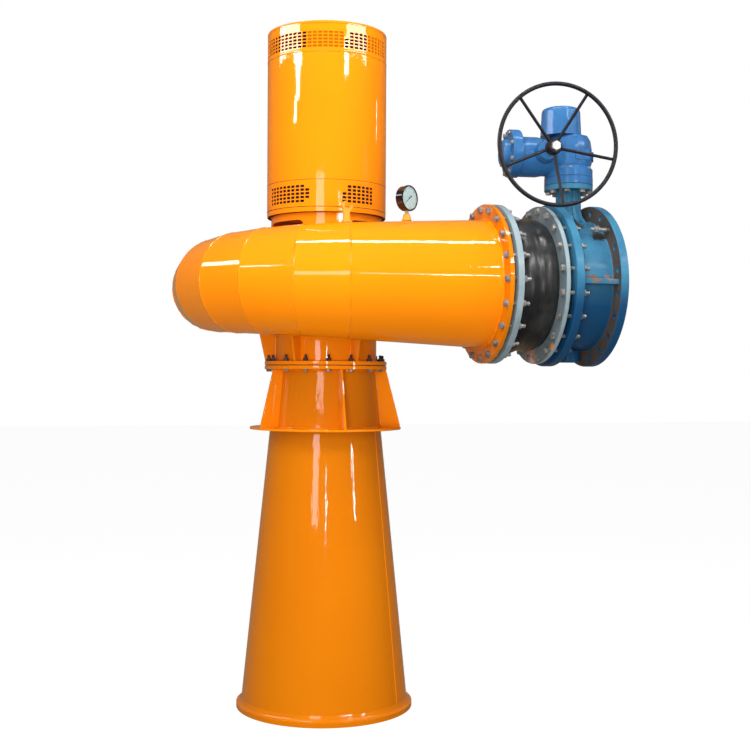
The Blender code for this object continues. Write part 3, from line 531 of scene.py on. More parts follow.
def make_glass():
    tree, shader, where = new_finish("gauge_glass", 0.04)
    shader.inputs["Transmission Weight"].default_value = 1.0
    shader.inputs["IOR"].default_value = 1.46
    dust = ramp(tree, noise(tree, where, 90.0, 4.0), 0.5, 0.9)
    tree.links.new(blend(tree, dust, (1.0, 1.0, 1.0, 1.0), (0.93, 0.95, 0.94, 1.0)), shader.inputs["Base Color"])
    bump(tree, shader, [(noise(tree, where, 40.0, 2.0), 0.05, 0.0003)])


def darker(value, share):
    return tuple(part * share for part in value)


def make_finishes(finish_colours):
    orange = tuple(finish_colours.orange)
    deep = tuple(finish_colours.orange_deep)
    make_gloss_paint("orange_gloss", orange, deep, 0.5)
    # A darker copy of the orange paint for the draft tube, its base ring and the inlet flange: painted shade, the same
    # paint where less light falls.
    make_gloss_paint("orange_low", darker(orange, 0.71), darker(deep, 0.71), 0.7, 0.30, 0.42)
    make_gloss_paint("orange_worn", (orange[0] * 0.92, orange[1] * 1.06, orange[2] * 0.5), deep, 0.9, 0.34, 0.2, 0.30)
    # A darker copy of the orange paint for the blind vents' recesses: painted shade.
    make_gloss_paint("orange_shade", darker(orange, 0.45), darker(deep, 0.30), 0.9, 0.42)
    # A much darker copy of the orange paint for the pieces inside the generator stand: painted shade.
    make_gloss_paint("orange_dusty", darker(orange, 0.30), darker(deep, 0.22), 0.9, 0.42)
    rust = (0.13, 0.055, 0.025, 1.0)
    make_worn_paint("ring_grey", finish_colours.grey, (0.20, 0.27, 0.29), rust, 0.42, 0.66)
    # The far ring gets a darker copy of the ring paint on its faces, painted shade, and the lighter ring paint on its
    # rim; its marks are a splash of orange paint and a rust patch.
    far_ring = (AXIS_X + 0.795, AXIS_Y - 0.50, 1.545)
    make_worn_paint("ring_far_grey", (0.165, 0.210, 0.228), (0.100, 0.135, 0.150), rust, 0.45, 0.62, marks=(
        ((0.606, -0.589, 1.607), 0.020, (0.75, 0.24, 0.02, 1.0), 0.03),
        # The lighter middle of the rust patch is bare metal with a painted highlight.
        (far_ring, 0.070, (0.42, 0.20, 0.13, 1.0), 0.09), (far_ring, 0.035, (0.62, 0.42, 0.34, 1.0), 0.10)))
    # Two dark patches on the top of the body beside the neck.
    dark_patch = (0.030, 0.028, 0.026, 1.0)
    # The valve's body grows darker below the pipe's axis: partly a deeper coat, partly painted shade.
    make_worn_paint("valve_blue", finish_colours.valve, (0.030, 0.13, 0.24), rust, 0.42, 0.66,
                    low=(PIPE_Z - 0.10, PIPE_Z + 0.03, (0.007, 0.060, 0.150, 1.0)), marks=(
                        ((STEM_X - 0.04, PIPE_Y - 0.12, PIPE_Z + 0.262), 0.055, dark_patch, 0.10),
                        ((STEM_X + 0.05, PIPE_Y - 0.20, PIPE_Z + 0.200), 0.030, dark_patch, 0.08),
                        ((STEM_X - 0.02, PIPE_Y - 0.30, PIPE_Z + 0.012), 0.030, (0.20, 0.11, 0.06, 1.0), 0.06),
                        ((STEM_X + 0.05, PIPE_Y - 0.30, PIPE_Z + 0.012), 0.028, (0.26, 0.17, 0.11, 1.0), 0.06)))
    make_worn_paint("flange_bare", (0.055, 0.048, 0.044), (0.085, 0.07, 0.06), rust, 0.65, 0.60, gloss=0.0)
    make_worn_paint("actuator_blue", finish_colours.actuator, (0.028, 0.13, 0.34), (0.10, 0.10, 0.11, 1.0), 0.34,
                    0.72, gloss=0.30)
    make_rubber("joint_rubber", finish_colours.rubber)
    make_metal("bolt_zinc", (0.40, 0.40, 0.38, 1.0), (0.055, 0.048, 0.042, 1.0), 0.32, 0.5)
    make_metal("bolt_black", (0.07, 0.066, 0.062, 1.0), (0.018, 0.015, 0.013, 1.0), 0.34, 0.5)
    make_metal("turned_steel", (0.60, 0.60, 0.60, 1.0), (0.36, 0.35, 0.33, 1.0), 0.25)
    make_metal("runner_bronze", (0.45, 0.28, 0.11, 1.0), (0.22, 0.14, 0.07, 1.0), 0.33)
    make_metal("gauge_brass", (0.62, 0.50, 0.27, 1.0), (0.36, 0.29, 0.16, 1.0), 0.28)
    make_gloss_paint("gauge_dark", (0.016, 0.009, 0.008), (0.010, 0.006, 0.005), 0.3, 0.30, 0.05)
    make_metal("core_dark", (0.016, 0.007, 0.004, 1.0), (0.008, 0.005, 0.003, 1.0), 0.60, 0.2, 14.0)
    # A near-black for the sheets behind the vents, which are painted shade, and for the dark lines at joints.
    make_metal("screen_black", (0.010, 0.005, 0.004, 1.0), (0.005, 0.003, 0.003, 1.0), 0.85, 0.0, 60.0)
    make_metal("nut_bright", (0.62, 0.62, 0.60, 1.0), (0.34, 0.33, 0.31, 1.0), 0.30, 0.35)
    make_enamel("black_enamel", finish_colours.enamel)
    make_dial_paint()
    make_glass()


# Small parts that repeat


def hexagon(radius, height, foot, chamfer):
    """A hexagon with its outer end chamfered: radius to the corners, up its frame's Z."""
    nothing_selected()
    bpy.ops.mesh.primitive_cylinder_add(vertices=6, radius=radius, depth=height, location=(0, 0, foot + height / 2))
    piece = bpy.context.object
    bpy.ops.object.transform_apply()
    pick_faces(piece, lambda face: face.normal.z > 0.9)
    bpy.ops.mesh.inset(thickness=chamfer * 1.6, depth=0.0)
    bpy.ops.transform.translate(value=(0, 0, chamfer * 0.55))
    leave()
    return piece


def studded(name, radius, reach):
    """Model of a nut on its washer with the end of its stud: up its frame's Z from 0."""
    washer = turn("washer", [(radius * 2.05, 0.0), (radius * 2.05, 0.0022), (radius * 1.0, 0.0026), (0.0, 0.0026)],
                  16)
    nut = hexagon(radius * 1.82, radius * 1.55, 0.0024, 0.0016)
    stud = turn("stud", [(radius, 0.002), (radius, reach - 0.0018), (radius * 0.78, reach), (0.0, reach)], 12)
    return gather(name, [washer, nut, stud])


def headed(name, radius, height):
    """Model of a bolt's head on its washer: up its frame's Z from 0."""
    washer = turn("washer", [(radius * 2.0, 0.0), (radius * 2.0, 0.0020), (radius * 1.0, 0.0024), (0.0, 0.0024)],
                  16)
    head = hexagon(radius * 1.80, height - 0.0022, 0.0022, 0.0014)
    return gather(name, [washer, head])


def bolted(name, model, places, material="bolt_zinc"):
    """Finished copies of a fastener's model at each place."""
    finish(repeated(name, model, places), material)


def evenly(place, count, first=0.0):
    """The frame, turned evenly about its Z."""
    return [place @ around(first + index * 360 / count) for index in range(count)]


def bolt_places(place, count, circle, height, first=0.0, flip=False):
    """Places on a bolt circle about a frame's Z, each looking up it, or down it when flipped.

    Each is twisted a little further than the last, as tightened nuts end up.
    """
    over = around(180, "X") if flip else HERE
    twist = 37.0
    return [spot @ shift(circle, 0.0, height) @ over @ around(index * twist)
            for index, spot in enumerate(evenly(place, count, first))]


def shank_places(first):
    """Places on the pipe's bolt circle, in line with the pipe."""
    return [spot @ shift(BOLT_CIRCLE, 0, 0) for spot in evenly(ALONG, BOLT_COUNT, first)]


def weld_ring(name, radius, place, bead, seed):
    """A weld bead round a seam: a torus, uneven like a hand-laid run."""
    nothing_selected()
    bpy.ops.mesh.primitive_torus_add(major_radius=radius, minor_radius=bead, major_segments=120, minor_segments=6)
    return put(roughen(named(name), bead * 0.35, seed), place)


def roughen(piece, offset, seed):
    """Moves a piece's points a little, like lumpy weld metal or a casting's skin."""
    edit_whole(piece)
    bpy.ops.transform.vertex_random(offset=offset, uniform=0.3, seed=seed)
    leave()
    return piece


def facing(point, way):
    """A frame at a point whose Z looks along the way given."""
    return Matrix.Translation(point) @ way.to_track_quat("Z", "Y").to_matrix().to_4x4()


def rod(name, radius, start, end, sides):
    """A round bar between two points."""
    run = end - start
    return turn(name, [(0.0, run.length), (radius, run.length), (radius, 0.0), (0.0, 0.0)], sides, facing(start, run))


# Pieces


def cone_radius(height):
    """Outer radius of the draft tube's cone."""
    foot, foot_radius, taper = 0.020, 0.3757, 0.1015
    return foot_radius - (height - foot) * taper


def upright_bead(radius, height, bead, seed):
    return weld_ring("bead", radius, UP @ shift(0, 0, height), bead, seed)


def make_draft_tube(sizes):
    steps = sizes.facets
    fillet_top = 0.046
    ring = turn("base_ring_rolled", [
        (cone_radius(fillet_top) + 3 * SEAT, fillet_top), (0.3768, 0.038), (0.3785, 0.032), (0.3815, 0.0265),
        (0.3860, 0.0225), (0.3905, 0.0203), (0.3970, 0.0200), (0.3970, 0.0), (0.366, 0.0), (0.366, 0.020),
        (cone_radius(0.020) + SEAT, 0.020), (cone_radius(fillet_top) + SEAT, fillet_top)], steps, UP)
    # The base ring and the cone get the darker copy of the orange: painted shade.
    finish(round_edges(ring, 0.004, 3, 60), "orange_low", stands_for=["base_ring"])
    low, top = 0.0203, 1.5147
    turned_part("draft_tube_cone", "draft_tube", [
        (cone_radius(top), top), (cone_radius(low), low), (cone_radius(low) - PLATE, low),
        (cone_radius(top) - PLATE, top)], steps, UP, "orange_low")
    deck_foot, deck_top, rib_foot = 1.246, 1.256, 1.254
    deck = turn("foundation_deck", [
        (0.342, deck_top), (0.342, deck_foot), (cone_radius(deck_foot) + SEAT, deck_foot),
        (cone_radius(deck_top) + SEAT, deck_top)], steps, UP)
    round_edges(deck, 0.0015)
    outline = [(cone_radius(rib_foot) + SEAT, rib_foot), (0.338, rib_foot), (0.338, rib_foot + 0.012), (0.2745, top),
               (cone_radius(top) + SEAT, top)]
    rib = round_edges(cut_plate("rib", outline, 0.010), 0.0012)
    ribs = repeated("ribs", rib, evenly(UP, 5, -88.3))
    finish(gather("foundation_deck_and_ribs", [deck, ribs]), "orange_gloss", stands_for=["foundation_plate"])
    beads = [upright_bead(cone_radius(edge) + 0.001, height, bead, seed) for edge, height, bead, seed in (
        (1.259, 1.2575, 0.004, 3), (1.243, 1.2445, 0.004, 4), (1.511, 1.512, 0.0035, 5))]
    seam_ends = [UP @ around(turn_to) @ Vector((cone_radius(height) - 0.0012, 0.0, height))
                 for turn_to, height in ((-44.0, 0.05), (-42.0, 1.24))]
    beads.append(rod("bead", 0.0028, *seam_ends, 8))
    finish(gather("draft_tube_welds", beads), "orange_gloss", angle=60)


def make_throat(sizes):
    steps = sizes.facets
    for name, node, outer, low, high, material, edge in (
            ("draft_tube_flange_turned", "draft_tube_flange", THROAT_FLANGE, 1.515, 1.5315, "orange_gloss", 0.0014),
            ("flange_gasket_ring", "flange_gasket", 0.2725, 1.5318, 1.5342, "joint_rubber", 0.0006),
            ("throat_flange_turned", "throat_flange", THROAT_FLANGE, 1.5345, 1.5510, "orange_gloss", 0.0014)):
        turned_part(name, node, collar(THROAT_BORE, outer, low, high), steps, UP, material, edge)
    foot, top, weld = 1.5513, 1.7897, 0.2280
    chamber = turn("chamber_wall", collar(THROAT_BORE, 0.2295, foot, top), steps, UP)
    outline = [(weld, foot), (0.2740, foot), (0.3020, 1.680), (0.3020, top), (weld, top)]
    gusset = round_edges(cut_plate("gusset", outline, 0.010), 0.0012)
    gussets = repeated("gussets", gusset, [UP @ around(a) for a in (167.2, -132.8, -72.8, 47.2, 107.2)])
    finish(gather("chamber_and_gussets", [chamber, gussets]), "orange_gloss", stands_for=["runner_chamber"])
    beads = [upright_bead(0.2305, height, 0.0035, seed) for height, seed in ((1.5520, 6), (1.7885, 7))]
    finish(gather("throat_welds", beads), "orange_gloss", angle=60)
    count, circle, first, radius = 16, 0.258, -100.2, sizes.throat_bolt
    bolted("throat_nuts", studded("nut", radius, 0.028), bolt_places(UP, count, circle, 1.5511, first), "bolt_black")
    bolted("throat_bolt_heads", headed("head", radius, 0.0100), bolt_places(UP, count, circle, 1.5149, first, True))


def make_stay_ring(sizes):
    rings = [round_edges(turn(name, collar(THROAT_BORE, 0.3205, foot, foot + 0.016), sizes.facets, UP), 0.0012)
             for name, foot in (("low", 1.790), ("high", 1.950))]
    vane = cut_plate("vane", [(-0.017, 1.8055), (0.017, 1.8055), (0.017, 1.9505), (-0.017, 1.9505)], 0.008)
    round_edges(vane, 0.003)
    places = [spot @ shift(0.280, 0, 0) @ around(35) for spot in evenly(UP, 10)]
    pieces = rings + [repeated("vanes", vane, places)]
    finish(gather("stay_ring_and_vanes", pieces), "orange_gloss", stands_for=["stay_ring"])


def scroll_section(seam):
    """Radius and centre of the scroll's section at a seam, in the turbine's frame.

    The sections narrow round the turbine, and all meet the stay ring with the same opening.
    """
    narrowing, least_radius, stay_radius, half_opening = 0.68, 0.0760, 0.3160, 0.070
    radius = max(SCROLL_RADIUS * max(1 - seam / 360, 0.0) ** narrowing, least_radius)
    reach = stay_radius + math.sqrt(radius ** 2 - half_opening ** 2)
    angle = math.radians(seam)
    return radius, Vector((-reach * math.sin(angle), -reach * math.cos(angle), PIPE_Z))


def seam_frame(centre, heading, stretch, size=1.0, inward=0.0):
    """Frame of a seam: X is out across it, stretched, Y is up and Z is along the plate."""
    angle = math.radians(-90 - heading)
    x, y = math.cos(angle), math.sin(angle)
    wide = size * stretch
    return Matrix(((x * wide, 0.0, y, centre.x - x * inward), (y * wide, 0.0, -x, centre.y - y * inward),
                   (0.0, size, 0.0, centre.z), (0.0, 0.0, 0.0, 1.0)))


def draw_tube(name, sections, sides):
    """A tube through sections of (centre, heading, radius, stretch): a circle, extruded from seam to seam."""
    centre, heading, radius, stretch = sections[0]
    nothing_selected()
    bpy.ops.mesh.primitive_circle_add(vertices=sides, radius=1.0)
    piece = named(name)
    piece.matrix_world = seam_frame(centre, heading, stretch, radius)
    bpy.ops.object.transform_apply()
    edit()
    bpy.ops.mesh.select_all(action="SELECT")
    for (old_centre, old_heading, old_radius, old_stretch), (centre, heading, radius, stretch) in zip(
            sections, sections[1:]):
        bpy.ops.mesh.extrude_region_move(TRANSFORM_OT_translate={"value": centre - old_centre})
        bpy.ops.mesh.mark_sharp()
        bpy.ops.transform.rotate(value=math.radians(heading - old_heading), orient_axis="Z", center_override=centre)
        size = radius / old_radius
        side = size * stretch / old_stretch
        bpy.ops.transform.resize(value=(side, side, size), center_override=centre, orient_type="GLOBAL")
    leave()
    return put(piece, UP)


def rolled_shell(name, node, sections, sides):
    """A tube of plate, with its thickness inwards."""
    shell = draw_tube(name, sections, sides)
    edit_whole(shell)
    bpy.ops.mesh.normals_make_consistent(inside=False)
    leave()
    modify(shell, "SOLIDIFY", thickness=PLATE, offset=-1.0)
    finish(shell, "orange_gloss", stands_for=[node], angle=30)


def make_scroll(sizes):
    first_heading = 12.0
    first_stretch = 1 / math.cos(math.radians(first_heading))
    start = Vector((-0.027, PIPE_OFFSET, PIPE_Z))
    sections = [(start + Vector((-SEAT, 0, 0)), first_heading, SCROLL_RADIUS, first_stretch)]
    for seam in [22.8, 41.0, 58.5, 78.0] + [98.0 + 20 * index for index in range(12)] + [342.0]:
        radius, centre = scroll_section(seam)
        sections.append((centre, seam, radius, 1.0))
    rolled_shell("scroll_shell", "scroll_case", sections, 96)
    rolled_shell("inlet_pipe_shell", "inlet_pipe", [
        (start, first_heading, SCROLL_RADIUS, first_stretch), (Vector((0.5517, PIPE_OFFSET, PIPE_Z)), 0.0, 0.271, 1.0)],
        128)
    bead = sizes.weld_bead
    beads = []
    for index, (centre, heading, radius, stretch) in enumerate(sections[:-1]):
        # The outermost seams stay inside the solids' box
        inward = 0.0040 if heading in (78.0, 178.0) else 0.0
        place = UP @ seam_frame(centre, heading, stretch, inward=inward)
        beads.append(weld_ring("bead", radius - bead * 0.55, place, bead, 20 + index))
    finish(gather("scroll_welds", beads), "orange_gloss", angle=60)


def arc(centre, radius, begin, end, steps):
    """Points (x, z) on an arc, in degrees from +X."""
    angles = [math.radians(begin + (end - begin) * step / steps) for step in range(steps + 1)]
    return [(centre[0] + radius * math.cos(angle), centre[1] + radius * math.sin(angle)) for angle in angles]


def make_hook():
    """A cut lifting hook on the scroll's crown, open at the top on the pipe's side."""
    centre = (0.0033, 0.0696)
    points = [(-0.0140, SEAT), (0.0210, SEAT), (0.0160, 0.0090), (0.0132, 0.0240), (0.0130, 0.0440)]
    for radius, begin, end, steps in ((0.0235, -46, 2, 8), (0.0180, 7, 9, 1), (0.0125, 2, -246, 26),
                                      (0.0175, 107, 109, 1), (0.0215, 114, 140, 3), (0.0235, 150, 222, 9)):
        points += arc(centre, radius, begin, end, steps)
    points += [(-0.0138, 0.0440)]
    place = shift(AXIS_X - 0.0389, PIPE_Y, PIPE_Z + SCROLL_RADIUS)
    hook = round_edges(cut_plate("lifting_hook", points, 0.014, place), 0.0022, 3)
    foot = cut_plate("hook_weld", [(-0.0190, 0.0), (0.0270, 0.0), (0.0180, 0.0070), (-0.0140, 0.0070)], 0.024, place)
    modify(foot, "BEVEL", width=0.005, segments=3)
    roughen(foot, 0.0012, 3)
    finish(gather("lifting_hook", [hook, foot]), "orange_worn", stands_for=["lifting_eye"])


def make_generator_stand(sizes):
    steps = sizes.facets
    outer, corner, half_height = 0.250, 0.030, 0.0585
    half_width = outer * math.sin(math.radians(27.5))
    wall = turn("stand_wall", collar(outer - PLATE, outer, 1.9885, 2.1977), steps, UP)
    outline = []
    for side, rise, begin in ((1, -1, -90), (1, 1, 0), (-1, 1, 90), (-1, -1, 180)):
        outline += arc((side * (half_width - corner), rise * (half_height - corner)), corner, begin, begin + 90, 8)
    cutter = cut_plate("window", outline, 0.10)
    places = [UP @ around(angle - 90) @ shift(0.0, 0.230, 2.1085) for angle in (-153.4, -52.6, 26.6, 127.4)]
    combine(wall, repeated("windows", cutter, places), "DIFFERENCE")
    finish(wall, "orange_gloss", stands_for=["generator_stand"])
    # The head cover and the bearing housing inside the stand get the much darker orange: painted shade.
    turned_part("head_cover_turned", "head_cover", collar(0.049, 0.290, 1.9663, 1.9882), steps, UP, "orange_dusty",
                0.0015)
    turned_part("bearing_housing_turned", "bearing_housing", [
        (0.120, 2.0570), (0.120, 1.9886), (0.0453, 1.9886), (0.0453, 2.0632), (0.105, 2.0632)], 64, UP,
        "orange_dusty", 0.002)


def make_guard(name, node, sizes, profile, phase, open_groups, blind_groups, rows):
    """A perforated sheet guard: slots cut in rows in a turned sheet, given its thickness at the end.

    Groups are (from, to, lowest row, highest row), in degrees from the camera's side; phase is a column's place.
    """
    columns = sizes.vent_columns
    thickness, vent_corner, blind_depth, blind_slope = 0.0025, 0.0022, 0.0026, 0.0006
    sheet = turn(name, profile, columns, HERE, closed=False)
    first = phase - 180 / columns

    def wanted(face, groups):
        row = min(range(len(rows)), key=lambda index: abs(rows[index] - face.center.z))
        if abs(face.normal.z) > 0.3 or abs(rows[row] - face.center.z) > 0.001:
            return False
        bearing = math.degrees(math.atan2(face.center.y, face.center.x)) + first
        return any((bearing - low) % 360 <= (high - low) % 360 and least <= row <= most
                   for low, high, least, most in groups)

    def sunk(face):
        out = Vector((face.center.x - AXIS_X, face.center.y - AXIS_Y, 0.0))
        depth = GENERATOR_RADIUS - out.length
        return abs(depth - blind_depth) < 0.001 and face.normal.dot(out.normalized()) > 0.9

    if blind_groups:
        pick_faces(sheet, lambda face: wanted(face, blind_groups))
        bpy.ops.mesh.inset(thickness=sizes.vent_rib, depth=0.0, use_individual=True)
        bpy.ops.mesh.inset(thickness=blind_slope, depth=-blind_depth, use_individual=True)
        leave()
    pick_faces(sheet, lambda face: wanted(face, open_groups))
    bpy.ops.mesh.inset(thickness=sizes.vent_rib, depth=0.0, use_individual=True)
    sheet.data.materials.append(None)
    sheet.data.materials.append(None)
    sheet.active_material_index = 1
    bpy.ops.object.material_slot_assign()
    bpy.ops.mesh.bevel(offset=vent_corner, affect="VERTICES", segments=1)
    leave()
    pick_faces(sheet, lambda face: face.material_index == 1 and len(face.vertices) == 8)
    bpy.ops.mesh.delete(type="FACE")
    leave()
    for face in sheet.data.polygons:
        face.material_index = 0
    modify(sheet, "SOLIDIFY", thickness=thickness, offset=-1.0)
    put(sheet, UP @ around(CAMERA_SIDE + first))
    finish(sheet, "orange_gloss", stands_for=[node], angle=30)
    # The blind vents' recesses get the darker orange: painted shade.
    if blind_groups:
        second_finish(sheet, "orange_shade", sunk)


def guard_profile(foot, rows, top):
    """A guard's sheet, with a band of its own for each row of vents."""
    half = (rows[1] - rows[0]) / 2
    heights = [rows[0] - half] + [row + half for row in rows] + [top]
    return foot + [(GENERATOR_RADIUS, height) for height in heights]


def make_generator(sizes):
    steps = sizes.facets
    turned_part("generator_foot_turned", "generator_foot", collar(0.0453, 0.2685, 2.198, 2.220), steps, UP,
                "orange_gloss", 0.0018)
    upper_rows = [2.9145 + 0.0148 * index for index in range(5)]
    lower_rows = [2.2450 + 0.0160 * index for index in range(5)]
    upper_foot = [(GENERATOR_RADIUS, 2.8903), (0.2698, 2.8920), (0.2698, 2.8995), (GENERATOR_RADIUS, 2.9012)]
    make_guard("upper_guard_perforated", "upper_guard", sizes, guard_profile(upper_foot, upper_rows, 3.013), 3.3,
               [(-84, -24, 0, 4), (-24, -19, 0, 4), (21, 41, 0, 4), (16, 21, 0, 2), (66, 71, 0, 4), (106, 161, 0, 4),
                (201, 256, 0, 4)], [(-19, 16, 0, 4), (41, 66, 0, 4)], upper_rows)
    lower_foot = [(GENERATOR_RADIUS, 2.2203)]
    make_guard("lower_guard_perforated", "lower_guard", sizes, guard_profile(lower_foot, lower_rows, 2.3377), 1.8,
               [(-66, -21, 0, 4), (-21, -16, 1, 3), (19, 49, 0, 4), (14, 19, 0, 2), (84, 129, 0, 4), (154, 199, 0, 4),
                (229, 269, 0, 4)], [], lower_rows)
    turned_part("generator_casing", "generator_shell", collar(0.2153, GENERATOR_RADIUS, 2.338, 2.890), steps, UP,
                "orange_gloss", 0.0012)
    # Black sheets just inside the guards, behind the vents: painted shade, so the vents look dark inside.
    shade_sheets = [turn("screen", collar(0.2625, 0.2637, low, high), 96, UP)
               for low, high in ((2.8890, 3.0125), (2.2210, 2.3370))]
    finish(gather("vent_screens", shade_sheets), "screen_black")
    # Dark rings in the joints; the flat one at 2.1975, under the generator's foot, is a painted shadow.
    seams = [turn("seam", collar(0.2660, radius, height - tall / 2, height + tall / 2), 120, UP)
             for radius, height, tall in (
                 (0.2693, 2.3378, 0.0016), (0.2692, 2.8901, 0.0008), (0.2692, 3.0132, 0.0010),
                 (0.2691, 2.2201, 0.0022), (0.2530, 2.1975, 0.0016))]
    finish(gather("generator_seams", seams), "screen_black")
    turned_part("generator_lid", "generator_top_cover", [
        (0.0, 3.031), (0.090, 3.0305), (0.1614, 3.0292), (0.225, 3.0272), (0.265, 3.0252), (0.2678, 3.0243),
        (GENERATOR_RADIUS, 3.021), (GENERATOR_RADIUS, 3.0133), (0.0, 3.0133)], steps, UP, "orange_gloss")


def make_gauge():
    spot = UP @ shift(0.2205, PIPE_OFFSET, 0.0)
    boss = turn("gauge_boss_turned", [
        (0.0, 2.1620), (0.0110, 2.1620), (0.0132, 2.1600), (0.0145, 2.1550), (0.0158, 2.1500), (0.0174, 2.1450),
        (0.0190, 2.1400), (0.0214, 2.1336), (0.0, 2.1336)], 32, spot)
    finish(roughen(boss, 0.0011, 8), "orange_worn", stands_for=["gauge_boss"])
    turned_part("gauge_union", "gauge_connector", [
        (0.0, 2.1731), (0.0075, 2.1731), (0.0088, 2.1720), (0.0088, 2.1626), (0.0, 2.1622)], 6, spot, "gauge_brass")
    face = spot @ shift(0.0, 0.0, 2.2275) @ around(-55.4 + 90) @ around(90, "X")
    turned_part("gauge_case_turned", "gauge_case", [
        (0.0, 0.0140), (0.0470, 0.0140), (0.0475, 0.0165), (0.0482, 0.0178), (0.0500, 0.0180), (0.0530, 0.0172),
        (0.0540, 0.0150), (0.0540, 0.0080), (0.0522, 0.0066), (0.0518, -0.0170), (0.0500, -0.0195),
        (0.0460, -0.0210), (0.0, -0.0210)], 64, face, "gauge_dark")
    turned_part("gauge_dial_plate", "gauge_dial", [
        (0.0, 0.01445), (0.0468, 0.01445), (0.0468, 0.01405), (0.0, 0.01405)], 64, face, "dial_enamel")
    finish(turn("gauge_window", [(0.0, 0.0164), (0.046, 0.0164), (0.0465, 0.0160), (0.0465, 0.0155), (0.0, 0.0155)],
                48, face), "gauge_glass")

    def on_dial(height, angle):
        return face @ shift(0, 0, height) @ around(angle) @ around(-90, "X")

    marks = []
    outer, needle_turn = 0.0425, 219
    for index in range(31):
        inner, half = (0.0355, 0.0008) if index % 5 == 0 else (0.039, 0.0004)
        outline = [(inner, -half), (outer, -half), (outer, half), (inner, half)]
        marks.append(cut_plate("mark", outline, 0.0002, on_dial(0.0146, 225 - index * 9)))
    needle = cut_plate("needle", [(-0.013, -0.0016), (0.036, -0.0007), (0.036, 0.0007), (-0.013, 0.0016)], 0.0004,
                       on_dial(0.0151, needle_turn))
    pin = turn("pin", [(0.0, 0.0154), (0.0030, 0.0154), (0.0036, 0.0146), (0.0, 0.0146)], 20, face)
    tail = turn("tail", [(0.0, 0.0153), (0.0042, 0.0153), (0.0042, 0.0149), (0.0, 0.0149)], 20,
                face @ around(needle_turn) @ shift(-0.013, 0.0, 0.0))
    finish(gather("gauge_marks_and_needle", marks + [needle, pin, tail]), "black_enamel")


def make_flanges(sizes):
    steps = 144
    # The inlet flange gets the darker copy of the orange: painted shade.
    turned_part("inlet_flange_turned", "inlet_flange", collar(0.263, PIPE_FLANGE, 0.552, 0.570), steps, ALONG,
                "orange_low", 0.0016)
    seam = weld_ring("inlet_flange_weld", 0.2715, ALONG @ shift(0, 0, 0.5505), 0.0045, 41)
    finish(seam, "orange_gloss", angle=60)
    turned_part("near_ring_turned", "backing_ring_near", collar(0.2669, PIPE_FLANGE, 0.587, 0.613), steps, ALONG,
                "ring_grey", 0.002)
    far_ring = turned_part("far_ring_turned", "backing_ring_far", collar(0.2669, PIPE_FLANGE, 0.792, 0.812), steps,
                           ALONG, "ring_far_grey", 0.002)
    # Its rim keeps the lighter ring paint, its faces the darker copy: painted shade.
    second_finish(far_ring, "ring_grey", lambda face: abs(face.normal.x) < 0.2)
    neck, lip, bore, near, far = 0.266, 0.293, 0.250, 0.617, 0.788
    arches = ((0.03, 0.010), (0.07, 0.019), (0.12, 0.0255), (0.18, 0.0288), (0.24, 0.0292), (0.30, 0.0280),
              (0.36, 0.0250), (0.42, 0.0205), (0.47, 0.0170), (0.52, 0.0150), (0.56, 0.0138), (0.59, 0.0120),
              (0.61, 0.0118), (0.64, 0.0140), (0.68, 0.0160), (0.73, 0.0172), (0.79, 0.0170), (0.84, 0.0150),
              (0.88, 0.0125), (0.91, 0.0120), (0.94, 0.0100), (0.97, 0.0060))
    outer = [(lip, 0.5703), (lip, 0.5867), (neck, 0.5867), (neck, near)]
    outer += [(neck + lift, near + 0.171 * share) for share, lift in arches]
    outer += [(neck, far), (neck, 0.8123), (lip, 0.8123), (lip, 0.8357)]
    inner = [(bore, 0.5703), (bore, near)]
    inner += [(bore + 0.032 * math.sin(math.pi * index / 12), near + 0.171 * (index / 12)) for index in range(1, 12)]
    inner += [(bore, far), (bore, 0.8357)]
    rubber = turn("rubber_joint_moulded", outer[::-1] + inner, steps, ALONG)
    finish(rubber, "joint_rubber", stands_for=["rubber_joint"], angle=50)
    radius = sizes.flange_bolt
    for first, heads, head_height, shanks, low, high, nuts, reach, nut_height in (
            (0.0, "inlet_bolt_heads", 0.5519, "inlet_bolt_shanks", 0.5700, 0.5870, "near_ring_nuts", 0.035, 0.6131),
            (9.0, "far_ring_bolt_heads", 0.7919, "valve_bolt_shanks", 0.812, 0.836, "valve_flange_nuts", 0.033,
             0.8711)):
        bolted(heads, headed("head", radius, 0.014),
               bolt_places(ALONG, BOLT_COUNT, BOLT_CIRCLE, head_height, first, True))
        bolted(shanks, turn("shank", [(0.0, high), (radius, high), (radius, low), (0.0, low)], 12),
               shank_places(first))
        bolted(nuts, studded("nut", radius, reach), bolt_places(ALONG, BOLT_COUNT, BOLT_CIRCLE, nut_height, first))


